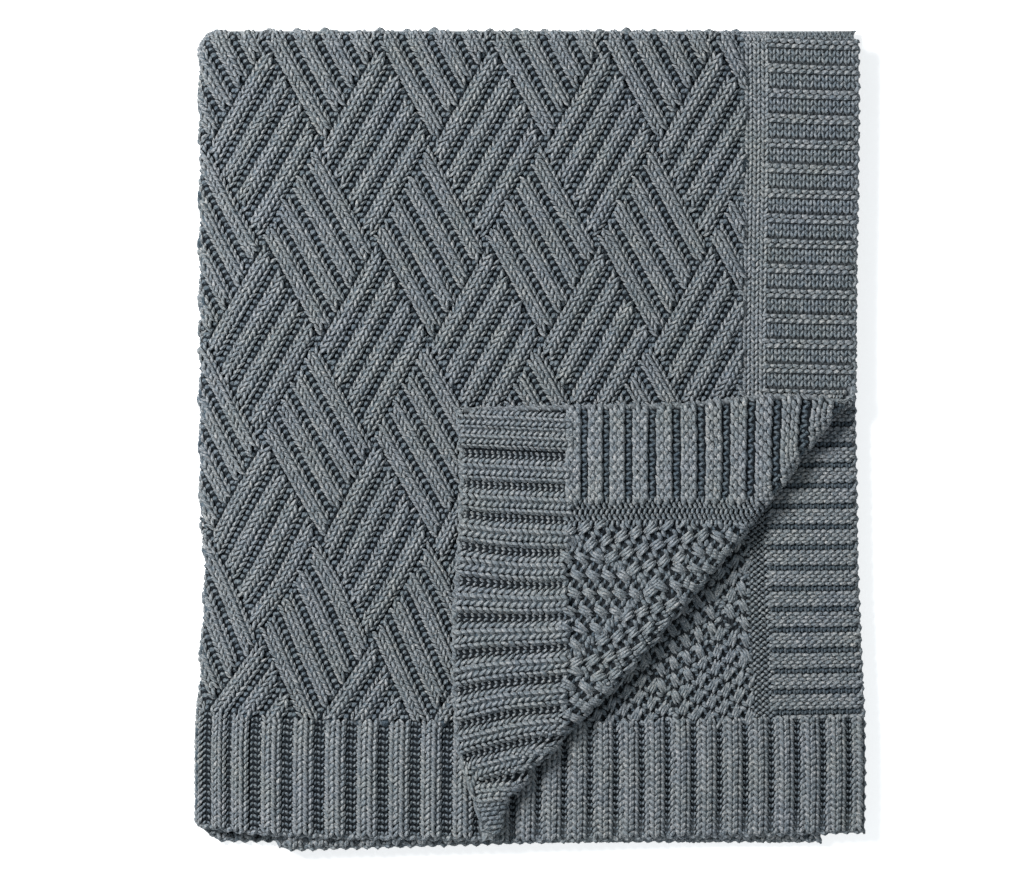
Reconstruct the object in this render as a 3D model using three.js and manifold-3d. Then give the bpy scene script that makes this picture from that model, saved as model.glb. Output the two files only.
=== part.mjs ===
// A chunky knit throw, folded in quarters and laid flat, with one corner of its top layer turned back.
// Millimetres: +X right along the hem, +Y up to the crosswise fold, +Z up from the surface it lies on.
// A place on the cloth is (s, t): s runs across from the lengthwise fold, t down from the crosswise fold.
// The quarter with s > 0 and t > 0 lies on top, face up. t < 0 lies beneath it, and s < 0 beneath both.
import * as THREE from "three";
import Module from "manifold-3d";

const wasm = await Module();
wasm.setup();

// Cloth
const HALF_WIDTH = 630;
const HALF_LENGTH = 765;
const CORE = 5; // thickness in the valleys between ribs
const LAYER = 8; // from the middle of one layer to the middle of the next

// Lengthwise fold at the left
const FOLD_LEFT = -315;
const FOLD_DENT = { size: 5, middle: 0.69, width: 0.07 }; // drawn in here, in shares of the length
const FOLD_FLARE = { size: 3, start: 0.8, run: 0.1 }; // and spread by the hem
const ROUND_FOLD = 12; // radius by the crosswise fold, where the layers nest
const FLAT_FOLD = 6; // radius further down, where the outer layer has sunk past the inner fold
const SETTLE_RUN = 120;
const SLOPE_RUN = 55; // width over which the outer layer climbs onto the inner fold
const SLOPE_END = 72;
const INNER_SET_BACK = 62; // how far inside the outer fold the inner one ends
const INNER_EASE = 0.7; // below 1, the inner fold draws back sooner than the outer one sinks
const FOLD_BLEND = 20; // half the width over which upper layers pass into lower ones

// Edges
const FOLD_TOP = 380.6;
const FOLD_CORNER = 17; // radius that the doubled fold rounds off the top left corner to
const LOWER_FOLD_RISE = 4; // the lower pair's crosswise fold shows this far above the upper pair's
const TOP_CORNER_SAG = 5; // the upper pair's fold drops by this over its last quarter
const SIDE_EDGE = 309;
const SECOND_FLARE = { size: 8, start: 0.65, run: 0.3 }; // the second layer's side edge spreads by its hem
const LOWER_SIDE_EDGE = 307;
const LOWER_DRAWN_IN = 32; // the lower pair narrows by this towards its hem
const EDGE_WANDER = { size: 1.5, turns: 9, start: 1 }; // waver of the side edge, in radians down its length

// Hem edges below the crosswise fold's line: each layer ends a little higher or lower than the next
const FACE_END = 762;
const FACE_END_RISE = { size: 13, run: 75 }; // the top layer's hem is drawn up towards the lengthwise fold
const SECOND_END = 772;
const SECOND_END_RISE = 17; // the second layer's hem slants up to its free corner
const LOWER_END = 764;
const LOWER_END_RISE = { size: 16, run: 26 }; // the lower pair's hem rounds off at the lengthwise fold

// Turned corner
const CREASE_FOOT = new THREE.Vector2(-39, -370);
const CREASE_HEAD = new THREE.Vector2(304, 37);
const CORNER_LANDS = new THREE.Vector2(-71.5, 29.5);
const ROLL = 6.5; // radius of the soft roll along the crease
const CREASE_BOW = { foot: 14.5, middle: 4.5, head: 12 }; // how far the crease bends towards the flap
const FOOT_SPREAD = { size: 11, run: 0.4 }; // the loose cloth by the crease's foot lies this far out

// Raised knit: a lattice of travelling ribs, a ribbed hem and welted side borders
const RIB = { foot: 16, crest: 9, height: 3 };
const WELT = { foot: 15, crest: 8, height: 2.4 };
const BACK_RIB = { foot: 13, crest: 7, height: 2 };
const RIB_SUNK = 1.2; // depth of a rib's foot inside the core
const RIB_END = 3; // slope at a rib's ends
const SHORTEST_RIB = 22;
const RIM = 1; // bare edge past the ends of hem ribs and welts
const LATTICE = { width: 106.6, height: 188, s: 168.5, t: 105.6, ribs: 4, gap: 5, rows: 8, columns: 6 };
const LATTICE_SWAY = { top: 6, topRun: 90, hem: 12, hemStart: 480, hemRun: 230 }; // columns lean a little
const CLEAR = 6; // ribs stop this far from a crease or an edge that hides them

// The top layer, the flap and the second layer, each as the knit lies there, drawn out or pushed together:
// depth of the hem, width of the border and of the smooth strip inside it, crests of hem ribs and of welts.
// On the flap ribs and welts lean a little, by a slope that passes from one value to another along it.
const FACE = {
  hem: 111,
  border: 85,
  strip: 23,
  ribs: { pitch: 30.4, count: 9, crowd: 18, ease: 2.4 }, // ribs crowd together at the lengthwise fold
  welts: { first: 9, pitch: 23.75, growth: 0, count: 16 },
};
const FLAP = {
  hem: 103,
  border: 77,
  strip: 18,
  ribs: { first: 309.5, pitch: 26.8, growth: 0, count: 12 },
  edgeRib: 619, // the side edge pushes one more rib close to the last
  ribLean: { from: 0.2, to: -0.05, start: 400, run: 140 },
  welts: { first: 624.3, pitch: -22.4, growth: -0.5, count: 10 }, // further apart towards the crease
  weltLean: { from: -0.24, to: -0.1, start: 460, run: 80 },
};
const SECOND = {
  hem: 109,
  border: 95,
  strip: 31,
  ribs: { first: 296.5, pitch: 27.55, growth: 0, count: 12 },
  welts: { first: -638, pitch: 19.74, growth: 0, count: 13 },
};
const UPRIGHT = { from: 0, to: 0, start: 0, run: 1 };

const clamp = THREE.MathUtils.clamp;
const mix = THREE.MathUtils.lerp;
const smooth = (x) => THREE.MathUtils.smoothstep(x, 0, 1);
const settled = (t) => smooth(Math.abs(t) / SETTLE_RUN);
const flare = (down, { size, start, run }) => size * smooth((down - start) / run);

// Height and place across the lengthwise fold: round the fold, then out to the side edge.
function section(s, { left, radius, middle, climb, edge }) {
  const arc = (radius * Math.PI) / 2;
  const turn = Math.min(Math.abs(s), arc) / radius;
  const run = Math.max(0, Math.abs(s) - arc);
  const reach = (edge - left - radius) / (HALF_WIDTH - arc);
  return {
    x: left + radius * (1 - Math.cos(turn)) + run * reach,
    z: middle + Math.sign(s) * radius * Math.sin(turn) + climb * smooth(run / SLOPE_RUN),
  };
}

function sideEdge(s, t) {
  const down = Math.abs(t) / HALF_LENGTH;
  if (s < 0) {
    return LOWER_SIDE_EDGE - LOWER_DRAWN_IN * down;
  }
  const wander = EDGE_WANDER.size * Math.sin(EDGE_WANDER.turns * down + EDGE_WANDER.start);
  return SIDE_EDGE + wander + (t < 0 ? flare(down, SECOND_FLARE) : 0);
}

function foldLeft(t) {
  const down = Math.abs(t) / HALF_LENGTH;
  const { size, middle, width } = FOLD_DENT;
  return FOLD_LEFT + size * Math.exp(-(((down - middle) / width) ** 2)) - flare(down, FOLD_FLARE);
}

function outerSection(s, t) {
  const radius = mix(ROUND_FOLD, FLAT_FOLD, settled(t));
  return section(s, {
    left: foldLeft(t),
    radius,
    middle: CORE / 2 + radius,
    climb: s > 0 ? 3 * LAYER - 2 * radius : 0,
    edge: sideEdge(s, t),
  });
}

function innerSection(s, t) {
  return section(s, {
    left: FOLD_LEFT + LAYER + INNER_SET_BACK * settled(t) ** INNER_EASE,
    radius: LAYER / 2,
    middle: CORE / 2 + 1.5 * LAYER,
    climb: 0,
    edge: sideEdge(s, t),
  });
}

// How far each layer's hem edge lies below the crosswise fold's line.
function hemEnd(s, t, upper) {
  const face = FACE_END - FACE_END_RISE.size * Math.exp(-Math.abs(s) / FACE_END_RISE.run);
  const second = SECOND_END - (SECOND_END_RISE * Math.abs(s)) / HALF_WIDTH;
  const lower = LOWER_END - LOWER_END_RISE.size * (1 - smooth(Math.abs(s) / LOWER_END_RISE.run));
  return mix(lower, t > 0 ? face : second, upper);
}

// Rounds the top left corner: a square corner's places spread over a quarter of a disc.
function roundCorner(x, y) {
  const a = (FOLD_LEFT + FOLD_CORNER - x) / FOLD_CORNER;
  const b = (y - FOLD_TOP - LAYER / 2 + FOLD_CORNER) / FOLD_CORNER;
  if (a <= 0 || b <= 0) {
    return [x, y];
  }
  const drawn = (share, other) => share * Math.sqrt(1 - Math.min(1, other) ** 2 / 2);
  return [x + FOLD_CORNER * (a - drawn(a, b)), y - FOLD_CORNER * (b - drawn(b, a))];
}

// The four layers lying flat, with a half-round turn from the outer to the inner ones at the crosswise fold.
function quarterFold(s, t) {
  const outer = outerSection(s, t);
  const inner = innerSection(s, t);
  const radius = LAYER / 2;
  const arc = (radius * Math.PI) / 2;
  const turn = clamp(t / radius, -Math.PI / 2, Math.PI / 2);
  const side = (1 + Math.sin(turn)) / 2;
  const upper = smooth((s / FOLD_BLEND + 1) / 2);
  const sag = TOP_CORNER_SAG * smooth(4 * (s / HALF_WIDTH - 0.75));
  const top = FOLD_TOP + mix(LOWER_FOLD_RISE, -sag, upper);
  const down = Math.max(0, Math.abs(t) - arc) / (HALF_LENGTH - arc);
  const [x, y] = roundCorner(
    mix(inner.x, outer.x, side),
    mix(top, FOLD_TOP - hemEnd(s, t, upper), down) + radius * Math.cos(turn),
  );
  return new THREE.Vector3(x, y, mix(inner.z, outer.z, side));
}

// Directions along the crease and square to it, towards the turned corner.
const creaseMiddle = CREASE_FOOT.clone().lerp(CREASE_HEAD, 0.5);
const creaseHalf = CREASE_FOOT.distanceTo(CREASE_HEAD) / 2;
const creaseAlong = CREASE_HEAD.clone().sub(CREASE_FOOT).normalize();
const creaseOut = new THREE.Vector2(creaseAlong.y, -creaseAlong.x);

// The crease's bow at a share of its length: full by the foot and by the head, slight between them.
function creaseBow(share) {
  const { foot, middle, head } = CREASE_BOW;
  const byFoot = 1 - smooth((share - 0.14) / 0.22);
  const byHead = smooth((share - 0.7) / 0.22);
  const ends = smooth(share / 0.07) * (1 - 0.4 * smooth((share - 0.93) / 0.1));
  return ends * (middle + (foot - middle) * byFoot + (head - middle) * byHead);
}

function creasePlace(place) {
  const from = new THREE.Vector2(place.x, place.y).sub(creaseMiddle);
  const along = from.dot(creaseAlong);
  const share = clamp((along / creaseHalf + 1) / 2, 0, 1);
  const bow = creaseBow(share);
  return { along, share, bow, past: from.dot(creaseOut) + bow };
}

// The knit gives a little as it turns over: this much along and across the crease brings the corner home.
const cornerFrom = creasePlace(quarterFold(HALF_WIDTH, HALF_LENGTH));
const cornerTo = CORNER_LANDS.clone().sub(creaseMiddle);
const cornerOver = cornerFrom.past - Math.PI * ROLL;
const flapShear = (cornerTo.dot(creaseAlong) - cornerFrom.along) / cornerOver;
const flapGive = -(cornerTo.dot(creaseOut) + cornerFrom.bow) / cornerOver;

function turnCorner(place) {
  const { along, share, bow, past } = creasePlace(place);
  if (past <= 0) {
    return place;
  }
  const turn = Math.min(past / ROLL, Math.PI);
  const loose = (1 - smooth(share / FOOT_SPREAD.run)) * smooth((2 * turn) / Math.PI - 1);
  const over = Math.max(0, past - Math.PI * ROLL);
  const out = ROLL * Math.sin(turn) - bow - flapGive * over;
  const on = along + flapShear * over;
  return new THREE.Vector3(
    creaseMiddle.x + on * creaseAlong.x + out * creaseOut.x - FOOT_SPREAD.size * loose,
    creaseMiddle.y + on * creaseAlong.y + out * creaseOut.y,
    place.z + ROLL * (1 - Math.cos(turn)),
  );
}

// Middle of the cloth at (s, t), and the same lifted by h towards the right side of the knit.
function drape(s, t) {
  const place = quarterFold(s, t);
  return s > 0 && t > 0 ? turnCorner(place) : place;
}

function lifted(s, t, h) {
  const step = 0.05;
  const across = drape(s + step, t).sub(drape(s - step, t));
  const down = drape(s, t + step).sub(drape(s, t - step));
  return drape(s, t).addScaledVector(down.cross(across).normalize(), h);
}

// How far a place on the top layer lies past the crease, before the corner turns.
const pastCrease = (s, t) => creasePlace(quarterFold(s, t)).past;

function closedSolid(points, faces) {
  const solid = new wasm.Manifold(
    new wasm.Mesh({
      numProp: 3,
      vertProperties: new Float32Array(points.flatMap((p) => p.toArray())),
      triVerts: new Uint32Array(faces.flat()),
    }),
  );
  return solid.volume() > 0 ? solid : closedSolid(points, faces.map(([a, b, c]) => [a, c, b]));
}

function evenly(from, to, count) {
  return Array.from({ length: count }, (_, i) => mix(from, to, i / count));
}

// Lines across and down the cloth where it bends: close together in the folds, far apart where it lies flat.
const SIDE_FOLD = 12;
const TOP_FOLD = 7;
const FLARED = [-690, -600, -500];
const DENTED = [450, 510, 570, 630, 690];
const TURNED_BACK = [330, 390, 450, 510, 570];
const acrossLines = [
  -HALF_WIDTH,
  -FOLD_BLEND - 6,
  -FOLD_BLEND,
  ...evenly(-SIDE_FOLD, SIDE_FOLD, 8),
  ...evenly(SIDE_FOLD, SLOPE_END, 3),
  SLOPE_END,
  ...TURNED_BACK,
  HALF_WIDTH,
];
const downLines = [
  -HALF_LENGTH,
  ...FLARED,
  ...evenly(-SETTLE_RUN, -TOP_FOLD, 3),
  ...evenly(-TOP_FOLD, TOP_FOLD, 6),
  ...evenly(TOP_FOLD, SETTLE_RUN, 3),
  SETTLE_RUN,
  ...DENTED,
  HALF_LENGTH,
];

// Flat triangles of the cloth, cut along lines beside the crease so that the roll comes out round.
function clothTriangles() {
  const rows = downLines.length;
  const places = acrossLines.flatMap((s) => downLines.map((t) => [s, t]));
  let triangles = [];
  for (let i = 0; i + 1 < acrossLines.length; i++) {
    for (let j = 0; j + 1 < rows; j++) {
      const k = i * rows + j;
      triangles.push([k, k + 1, k + rows], [k + 1, k + rows + 1, k + rows]);
    }
  }
  for (const cut of [...evenly(0, Math.PI * ROLL, 5), Math.PI * ROLL]) {
    triangles = cutAlong(places, triangles, cut);
  }
  return { places, triangles };
}

// Cuts each triangle of the top quarter that crosses the line at this distance past the crease.
function cutAlong(places, triangles, cut) {
  const near = 1.5; // a corner this close counts as on the line
  const offset = places.map(([s, t]) => (s >= 0 && t >= 0 ? pastCrease(s, t) - cut : 0));
  const side = offset.map((d) => (Math.abs(d) < near ? 0 : Math.sign(d)));
  const made = new Map();
  const crossing = (a, b) => {
    const key = a < b ? `${a},${b}` : `${b},${a}`;
    if (!made.has(key)) {
      const f = offset[a] / (offset[a] - offset[b]);
      made.set(key, places.push([0, 1].map((i) => mix(places[a][i], places[b][i], f))) - 1);
    }
    return made.get(key);
  };
  return triangles.flatMap((corners) => {
    const turned = [0, 1, 2].map((i) => [0, 1, 2].map((j) => corners[(i + j) % 3]));
    const lone = turned.find(([a, b, c]) => side[a] && side[b] === -side[a] && side[c] === -side[a]);
    if (lone) {
      const [a, b, c] = lone;
      const ab = crossing(a, b);
      const ac = crossing(a, c);
      return [[a, ab, ac], [ab, b, c], [ab, c, ac]];
    }
    const split = turned.find(([a, b, c]) => !side[a] && side[b] && side[c] === -side[b]);
    if (split) {
      const [a, b, c] = split;
      const bc = crossing(b, c);
      return [[a, b, bc], [a, bc, c]];
    }
    return [corners];
  });
}

// The sheet: its two faces, and a rim round every free edge.
function clothSheet() {
  const { places, triangles } = clothTriangles();
  const count = places.length;
  const points = [CORE / 2, -CORE / 2].flatMap((h) => places.map(([s, t]) => lifted(s, t, h)));
  const edges = new Map();
  for (const [a, b, c] of triangles) {
    for (const [from, to] of [[a, b], [b, c], [c, a]]) {
      if (!edges.delete(`${to},${from}`)) {
        edges.set(`${from},${to}`, [from, to]);
      }
    }
  }
  const rim = [...edges.values()].flatMap(([a, b]) => [[b, a, a + count], [b, a + count, b + count]]);
  const back = triangles.map(([a, b, c]) => [a + count, c + count, b + count]);
  return closedSolid(points, [...triangles, ...back, ...rim]);
}

// One raised rib between two places on the cloth. side is 1 on the right side of the knit, -1 on the back.
function raisedRib(from, to, side, { foot, crest, height }) {
  const length = from.distanceTo(to);
  const along = to.clone().sub(from).divideScalar(length);
  const bends = acrossLines
    .filter((s) => Math.abs(s) <= SLOPE_END)
    .map((s) => (s - from.x) / (to.x - from.x));
  const inside = bends.filter((f) => f * length > 2 * RIB_END && (1 - f) * length > 2 * RIB_END);
  const stations = [0, ...inside.sort((a, b) => a - b), 1];
  const low = side * (CORE / 2 - RIB_SUNK);
  const high = side * (CORE / 2 + height);
  const points = stations.flatMap((f) => {
    const drawn = clamp(f * length, RIB_END, length - RIB_END);
    const place = (on, off, h) => {
      const spot = from.clone().addScaledVector(along, on);
      return lifted(spot.x - along.y * off, spot.y + along.x * off, h);
    };
    return [
      place(f * length, -foot / 2, low),
      place(f * length, foot / 2, low),
      place(drawn, crest / 2, high),
      place(drawn, -crest / 2, high),
    ];
  });
  const faces = [[0, 1, 2], [0, 2, 3]];
  const last = 4 * (stations.length - 1);
  faces.push([last, last + 2, last + 1], [last, last + 3, last + 2]);
  for (let k = 0; k < last; k += 4) {
    for (let i = 0; i < 4; i++) {
      const a = k + i;
      const b = k + ((i + 1) % 4);
      faces.push([a, a + 4, b], [b, a + 4, b + 4]);
    }
  }
  return closedSolid(points, faces);
}

// The longest stretch of a straight line on the cloth that lies inside a region.
function stretchInside(from, to, inside) {
  const steps = Math.ceil(from.distanceTo(to));
  let best = [0, 0];
  let start = null;
  for (let i = 0; i <= steps + 1; i++) {
    const spot = from.clone().lerp(to, i / steps);
    const within = i <= steps && inside(spot.x, spot.y);
    if (within && start === null) {
      start = i;
    }
    if (!within && start !== null) {
      best = i - 1 - start > best[1] - best[0] ? [start, i - 1] : best;
      start = null;
    }
  }
  return best.map((i) => from.clone().lerp(to, i / steps));
}

function ribsInside(lines, inside, side, size) {
  return lines
    .map(([from, to]) => stretchInside(from, to, inside))
    .filter(([from, to]) => from.distanceTo(to) > SHORTEST_RIB)
    .map(([from, to]) => raisedRib(from, to, side, size));
}

function swayed(spot) {
  const { top, topRun, hem, hemStart, hemRun } = LATTICE_SWAY;
  const down = Math.abs(spot.y);
  spot.x += top * Math.exp(-down / topRun) - hem * smooth((down - hemStart) / hemRun);
  return spot;
}

// Centre lines of the lattice: blocks of parallel ribs, leaning right and left in turn like a woven basket.
// On the back the valleys between them stand up instead, one fewer to a block.
function latticeLines(back = 0) {
  const { width, height, s, t, ribs, gap, rows, columns } = LATTICE;
  const lines = [];
  for (let row = -rows; row <= rows; row++) {
    for (let column = -columns; column <= columns; column++) {
      const lean = row % 2 ? 1 : -1;
      const middle = new THREE.Vector2(s + (column + (row % 2 ? 0.5 : 0)) * width, t + (row * height) / 2);
      const along = new THREE.Vector2(width / 4, (lean * height) / 4);
      along.setLength(along.length() - gap);
      const stack = new THREE.Vector2(width / 2, (-lean * height) / 2);
      for (let k = 0; k < ribs - back; k++) {
        const centre = middle.clone().addScaledVector(stack, (k + 0.5 + back / 2) / ribs - 0.5);
        lines.push([swayed(centre.clone().sub(along)), swayed(centre.clone().add(along))]);
      }
    }
  }
  return lines;
}

// Crests of the ribs and welts: crowded at the lengthwise fold, or growing steadily further apart.
const crowdedCrests = ({ pitch, count, crowd, ease }) =>
  evenly(1, count + 1, count).map((n) => n * pitch - crowd * smooth(n / ease));
const steadyCrests = ({ first, pitch, growth, count }) =>
  evenly(0, count, count).map((n) => first + pitch * n + growth * n * n);

const leanAt = ({ from, to, start, run }, place) => mix(from, to, smooth((place - start) / run));

// Lines running down through the hem, sign -1 on the second layer, and lines running across the side border.
function hemLines(crests, { hem, ribLean = UPRIGHT }, sign = 1) {
  return crests.map((s) => {
    const aside = (leanAt(ribLean, s) * hem) / 2;
    return [
      new THREE.Vector2(s + aside, sign * (HALF_LENGTH - hem)),
      new THREE.Vector2(s - aside, sign * (HALF_LENGTH - RIM)),
    ];
  });
}

function borderLines(crests, { border, weltLean = UPRIGHT }) {
  return crests.map((t) => {
    const aside = (leanAt(weltLean, t) * border) / 2;
    return [
      new THREE.Vector2(HALF_WIDTH - border, t - aside),
      new THREE.Vector2(HALF_WIDTH - RIM, t + aside),
    ];
  });
}

// Where each face can be seen: the top layer outside the flap, the flap's back, and the second layer's back.
const underFlap = (place) => place.x > CORNER_LANDS.x + 4 * CLEAR && place.y < CORNER_LANDS.y - 4 * CLEAR;
const onFace = (s, t) => t > 0 && !underFlap(quarterFold(s, t)) && pastCrease(s, t) < -2 * CLEAR;
const onFlap = (s, t) => t > 0 && pastCrease(s, t) > Math.PI * ROLL + CLEAR;
const onSecond = (s, t) => t < 0 && pastCrease(s, t) > 2 * ROLL + CLEAR;

function inField({ hem, border, strip }, shown) {
  const right = HALF_WIDTH - border - strip;
  const bottom = HALF_LENGTH - hem;
  return (s, t) =>
    s > 2 * CLEAR && s < right && Math.abs(t) > CLEAR && Math.abs(t) < bottom && shown(s, t);
}

function aboveHem({ hem }, shown) {
  return (s, t) => Math.abs(t) < HALF_LENGTH - hem - CLEAR && shown(s, t);
}

function raisedKnit() {
  const back = latticeLines(1);
  const faceRibs = hemLines(crowdedCrests(FACE.ribs), FACE);
  const flapRibs = hemLines([...steadyCrests(FLAP.ribs), FLAP.edgeRib], FLAP);
  const secondRibs = hemLines(steadyCrests(SECOND.ribs), SECOND, -1);
  const welts = (face) => borderLines(steadyCrests(face.welts), face);
  return [
    ...ribsInside(latticeLines(), inField(FACE, onFace), 1, RIB),
    ...ribsInside(faceRibs, onFace, 1, RIB),
    ...ribsInside(welts(FACE), aboveHem(FACE, onFace), 1, WELT),
    ...ribsInside(back, inField(FLAP, onFlap), -1, BACK_RIB),
    ...ribsInside(flapRibs, onFlap, -1, BACK_RIB),
    ...ribsInside(welts(FLAP), aboveHem(FLAP, onFlap), -1, BACK_RIB),
    ...ribsInside(back, inField(SECOND, onSecond), -1, BACK_RIB),
    ...ribsInside(secondRibs, onSecond, -1, BACK_RIB),
    ...ribsInside(welts(SECOND), aboveHem(SECOND, onSecond), -1, BACK_RIB),
  ];
}

function knitThrow() {
  const { vertProperties, triVerts } = wasm.Manifold.union([clothSheet(), ...raisedKnit()]).getMesh();
  const geometry = new THREE.BufferGeometry();
  geometry.setAttribute("position", new THREE.BufferAttribute(vertProperties, 3));
  geometry.setIndex(new THREE.BufferAttribute(triVerts, 1));
  const yarn = new THREE.MeshStandardMaterial({ color: 0x646d75, roughness: 0.95, metalness: 0 });
  const mesh = new THREE.Mesh(geometry, yarn);
  mesh.name = "knit_throw";
  return mesh;
}

const group = new THREE.Group();
group.add(knitThrow());

export default group;
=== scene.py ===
"""A chunky knit throw, folded in quarters with one corner turned back: cloth, stitches and a plain studio.

A place on the cloth is (s, t) in millimetres: s runs across from the lengthwise fold, t down from the
crosswise fold. The quarter with s > 0 and t > 0 lies on top, face up.
"""
import itertools
import math

import bpy
import numpy as np
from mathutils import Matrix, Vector


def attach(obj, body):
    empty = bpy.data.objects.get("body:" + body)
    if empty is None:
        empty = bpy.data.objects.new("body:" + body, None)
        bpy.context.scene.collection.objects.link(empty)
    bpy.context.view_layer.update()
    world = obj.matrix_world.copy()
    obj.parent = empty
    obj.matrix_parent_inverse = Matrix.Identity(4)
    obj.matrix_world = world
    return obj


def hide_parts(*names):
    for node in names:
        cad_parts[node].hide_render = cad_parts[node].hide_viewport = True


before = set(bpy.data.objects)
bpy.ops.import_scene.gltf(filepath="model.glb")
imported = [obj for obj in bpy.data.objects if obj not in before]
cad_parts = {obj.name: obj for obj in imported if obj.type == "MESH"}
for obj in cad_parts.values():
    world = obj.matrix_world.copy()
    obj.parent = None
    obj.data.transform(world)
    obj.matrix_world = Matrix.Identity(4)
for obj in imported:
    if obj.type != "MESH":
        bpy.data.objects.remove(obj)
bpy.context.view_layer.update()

MM = 0.001  # sizes below are in millimetres, meshes in metres

# Cloth
HALF_WIDTH = 630
HALF_LENGTH = 765
CORE = 5  # thickness between the ribs
LAYER = 8  # from one layer to the next

# Lengthwise fold at the left
FOLD_LEFT = -315
FOLD_DENT = (5, 0.69, 0.07)  # depth, middle and width, the last two as shares of the length from the top
FOLD_FLARE = (3, 0.8, 0.1)  # size, start and run, the last two as such shares
ROUND_FOLD = 12  # radius by the crosswise fold
FLAT_FOLD = 6  # radius where the fold has settled
SETTLE_RUN = 120  # how far from the crosswise fold it settles
SLOPE_RUN = 55  # over which the top layer then climbs to its height
INNER_SET_BACK = 62  # how far the inner fold lies behind the outer one where it has settled
INNER_EASE = 0.7  # under 1, it draws back soon
FOLD_BLEND = 20  # to each side of the fold, where edges pass from the lower layers' lines to the upper ones'

# Edges
FOLD_TOP = 380.6
FOLD_CORNER = 17  # radius of the top left corner
LOWER_FOLD_RISE = 4  # how far the lower layers' fold lies above the upper ones'
TOP_CORNER_SAG = (5, 0.75, 0.25)  # size, start and run, the last two as shares of the width
SIDE_EDGE = 309
SECOND_FLARE = (8, 0.65, 0.3)  # of the second layer: size, and start and run as shares of the length
LOWER_SIDE_EDGE = 307
LOWER_DRAWN_IN = 32  # at the hem
FACE_END = 762  # hem edges, measured down from the crosswise fold
FACE_END_RISE = 13  # at the lengthwise fold
FACE_END_RUN = 75
SECOND_END = 772
SECOND_END_RISE = 17  # at the side edge
LOWER_END = 764
LOWER_END_RISE = 16  # at the lengthwise fold
LOWER_END_RUN = 26
EDGE_WANDER = 1.5  # the side edge isn't quite straight
EDGE_WANDER_TURNS = 9
EDGE_WANDER_START = 1

# Turned corner
CREASE_FOOT = np.array([-39, -370])  # places seen from above
CREASE_HEAD = np.array([304, 37])
CORNER_LANDS = np.array([-71.5, 29.5])
ROLL = 6.5  # radius of the turn
CREASE_BOW = (14.5, 4.5, 12)  # by the foot, in the middle and by the head
FOOT_BOW_ENDS = (0.14, 0.22)  # start and run, as shares of the crease from its foot
HEAD_BOW_STARTS = (0.7, 0.22)
FOOT_TAPER = 0.07  # run over which the bow grows from none at the very foot
HEAD_TAPER = (0.4, 0.93, 0.1)  # share lost, start and run
FOOT_SPREAD = 11  # how far the loose tip lies to the left
FOOT_SPREAD_RUN = 0.4

# Knit pattern
LATTICE_WIDTH = 106.6  # of a block, from corner to corner
LATTICE_HEIGHT = 188
LATTICE_S = 168.5  # middle of a block that leans right
LATTICE_T = 105.6
LATTICE_SWAY = (6, 90, 12, 480, 230)  # by the top fold and its run; by the hem, with its start and run
LATTICE_RIBS = 4
LATTICE_BLOCKS = 9  # blocks to each side of the first one that can reach the field
LEG_LINES = 4  # lines of stitch legs on a rib, two to a wale
MIDDLE_LINE = (LEG_LINES - 1) / 2
ROW = 5.6  # height of a row of stitches
WALE = 7.4  # width of a stitch in plain knit

# How far round a fold, or under an edge that hides it, the stitches go on
SIDE_WRAP = 0.5  # radians
TOP_WRAP = 10
UNDER_FOLD = -4
COVERED = 22
EDGE_CLEAR = 3.5
UNDER_ROLL = 8
TIP_TOP = -331  # the tip of the turned corner is below this


def grid(across, down, indexing="xy"):
    """Every place where one of these lines meets one of those."""
    return (g.ravel() for g in np.meshgrid(across, down, indexing=indexing))


def smooth(x):
    x = np.clip(x, 0, 1)
    return x * x * (3 - 2 * x)


def mix(a, b, share):
    return a + (b - a) * share


def eased(place, size, start, run):
    """A size that is reached smoothly, from a start over a run."""
    return size * smooth((place - start) / run)


def settled(t):
    return smooth(np.abs(t) / SETTLE_RUN)


def section(s, left, radius, middle, climb, edge):
    """Place across and height of the cloth: round the lengthwise fold, then out to the side edge."""
    arc = radius * math.pi / 2
    turn = np.minimum(np.abs(s), arc) / radius
    run = np.maximum(0, np.abs(s) - arc)
    reach = (edge - left - radius) / (HALF_WIDTH - arc)
    x = left + radius * (1 - np.cos(turn)) + run * reach
    z = middle + np.sign(s) * radius * np.sin(turn) + climb * smooth(run / SLOPE_RUN)
    return x, z


def side_edge(s, t):
    down = np.abs(t) / HALF_LENGTH
    wander = EDGE_WANDER * np.sin(EDGE_WANDER_TURNS * down + EDGE_WANDER_START)
    upper = SIDE_EDGE + wander + np.where(t < 0, eased(down, *SECOND_FLARE), 0)
    return np.where(s < 0, LOWER_SIDE_EDGE - LOWER_DRAWN_IN * down, upper)


def fold_left(t):
    down = np.abs(t) / HALF_LENGTH
    size, middle, width = FOLD_DENT
    return FOLD_LEFT + size * np.exp(-(((down - middle) / width) ** 2)) - eased(down, *FOLD_FLARE)


def fold_radius(t):
    return mix(ROUND_FOLD, FLAT_FOLD, settled(t))


def outer_section(s, t):
    radius = fold_radius(t)
    climb = np.where(s > 0, 3 * LAYER - 2 * radius, 0)
    return section(s, fold_left(t), radius, CORE / 2 + radius, climb, side_edge(s, t))


def inner_section(s, t):
    left = FOLD_LEFT + LAYER + INNER_SET_BACK * settled(t) ** INNER_EASE
    return section(s, left, LAYER / 2, CORE / 2 + 1.5 * LAYER, 0, side_edge(s, t))


def hem_end(s, t, upper):
    """How far each layer's hem edge lies below the crosswise fold's line."""
    face = FACE_END - FACE_END_RISE * np.exp(-np.abs(s) / FACE_END_RUN)
    second = SECOND_END - SECOND_END_RISE * np.abs(s) / HALF_WIDTH
    lower = LOWER_END - LOWER_END_RISE * (1 - smooth(np.abs(s) / LOWER_END_RUN))
    return mix(lower, np.where(t > 0, face, second), upper)


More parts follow.
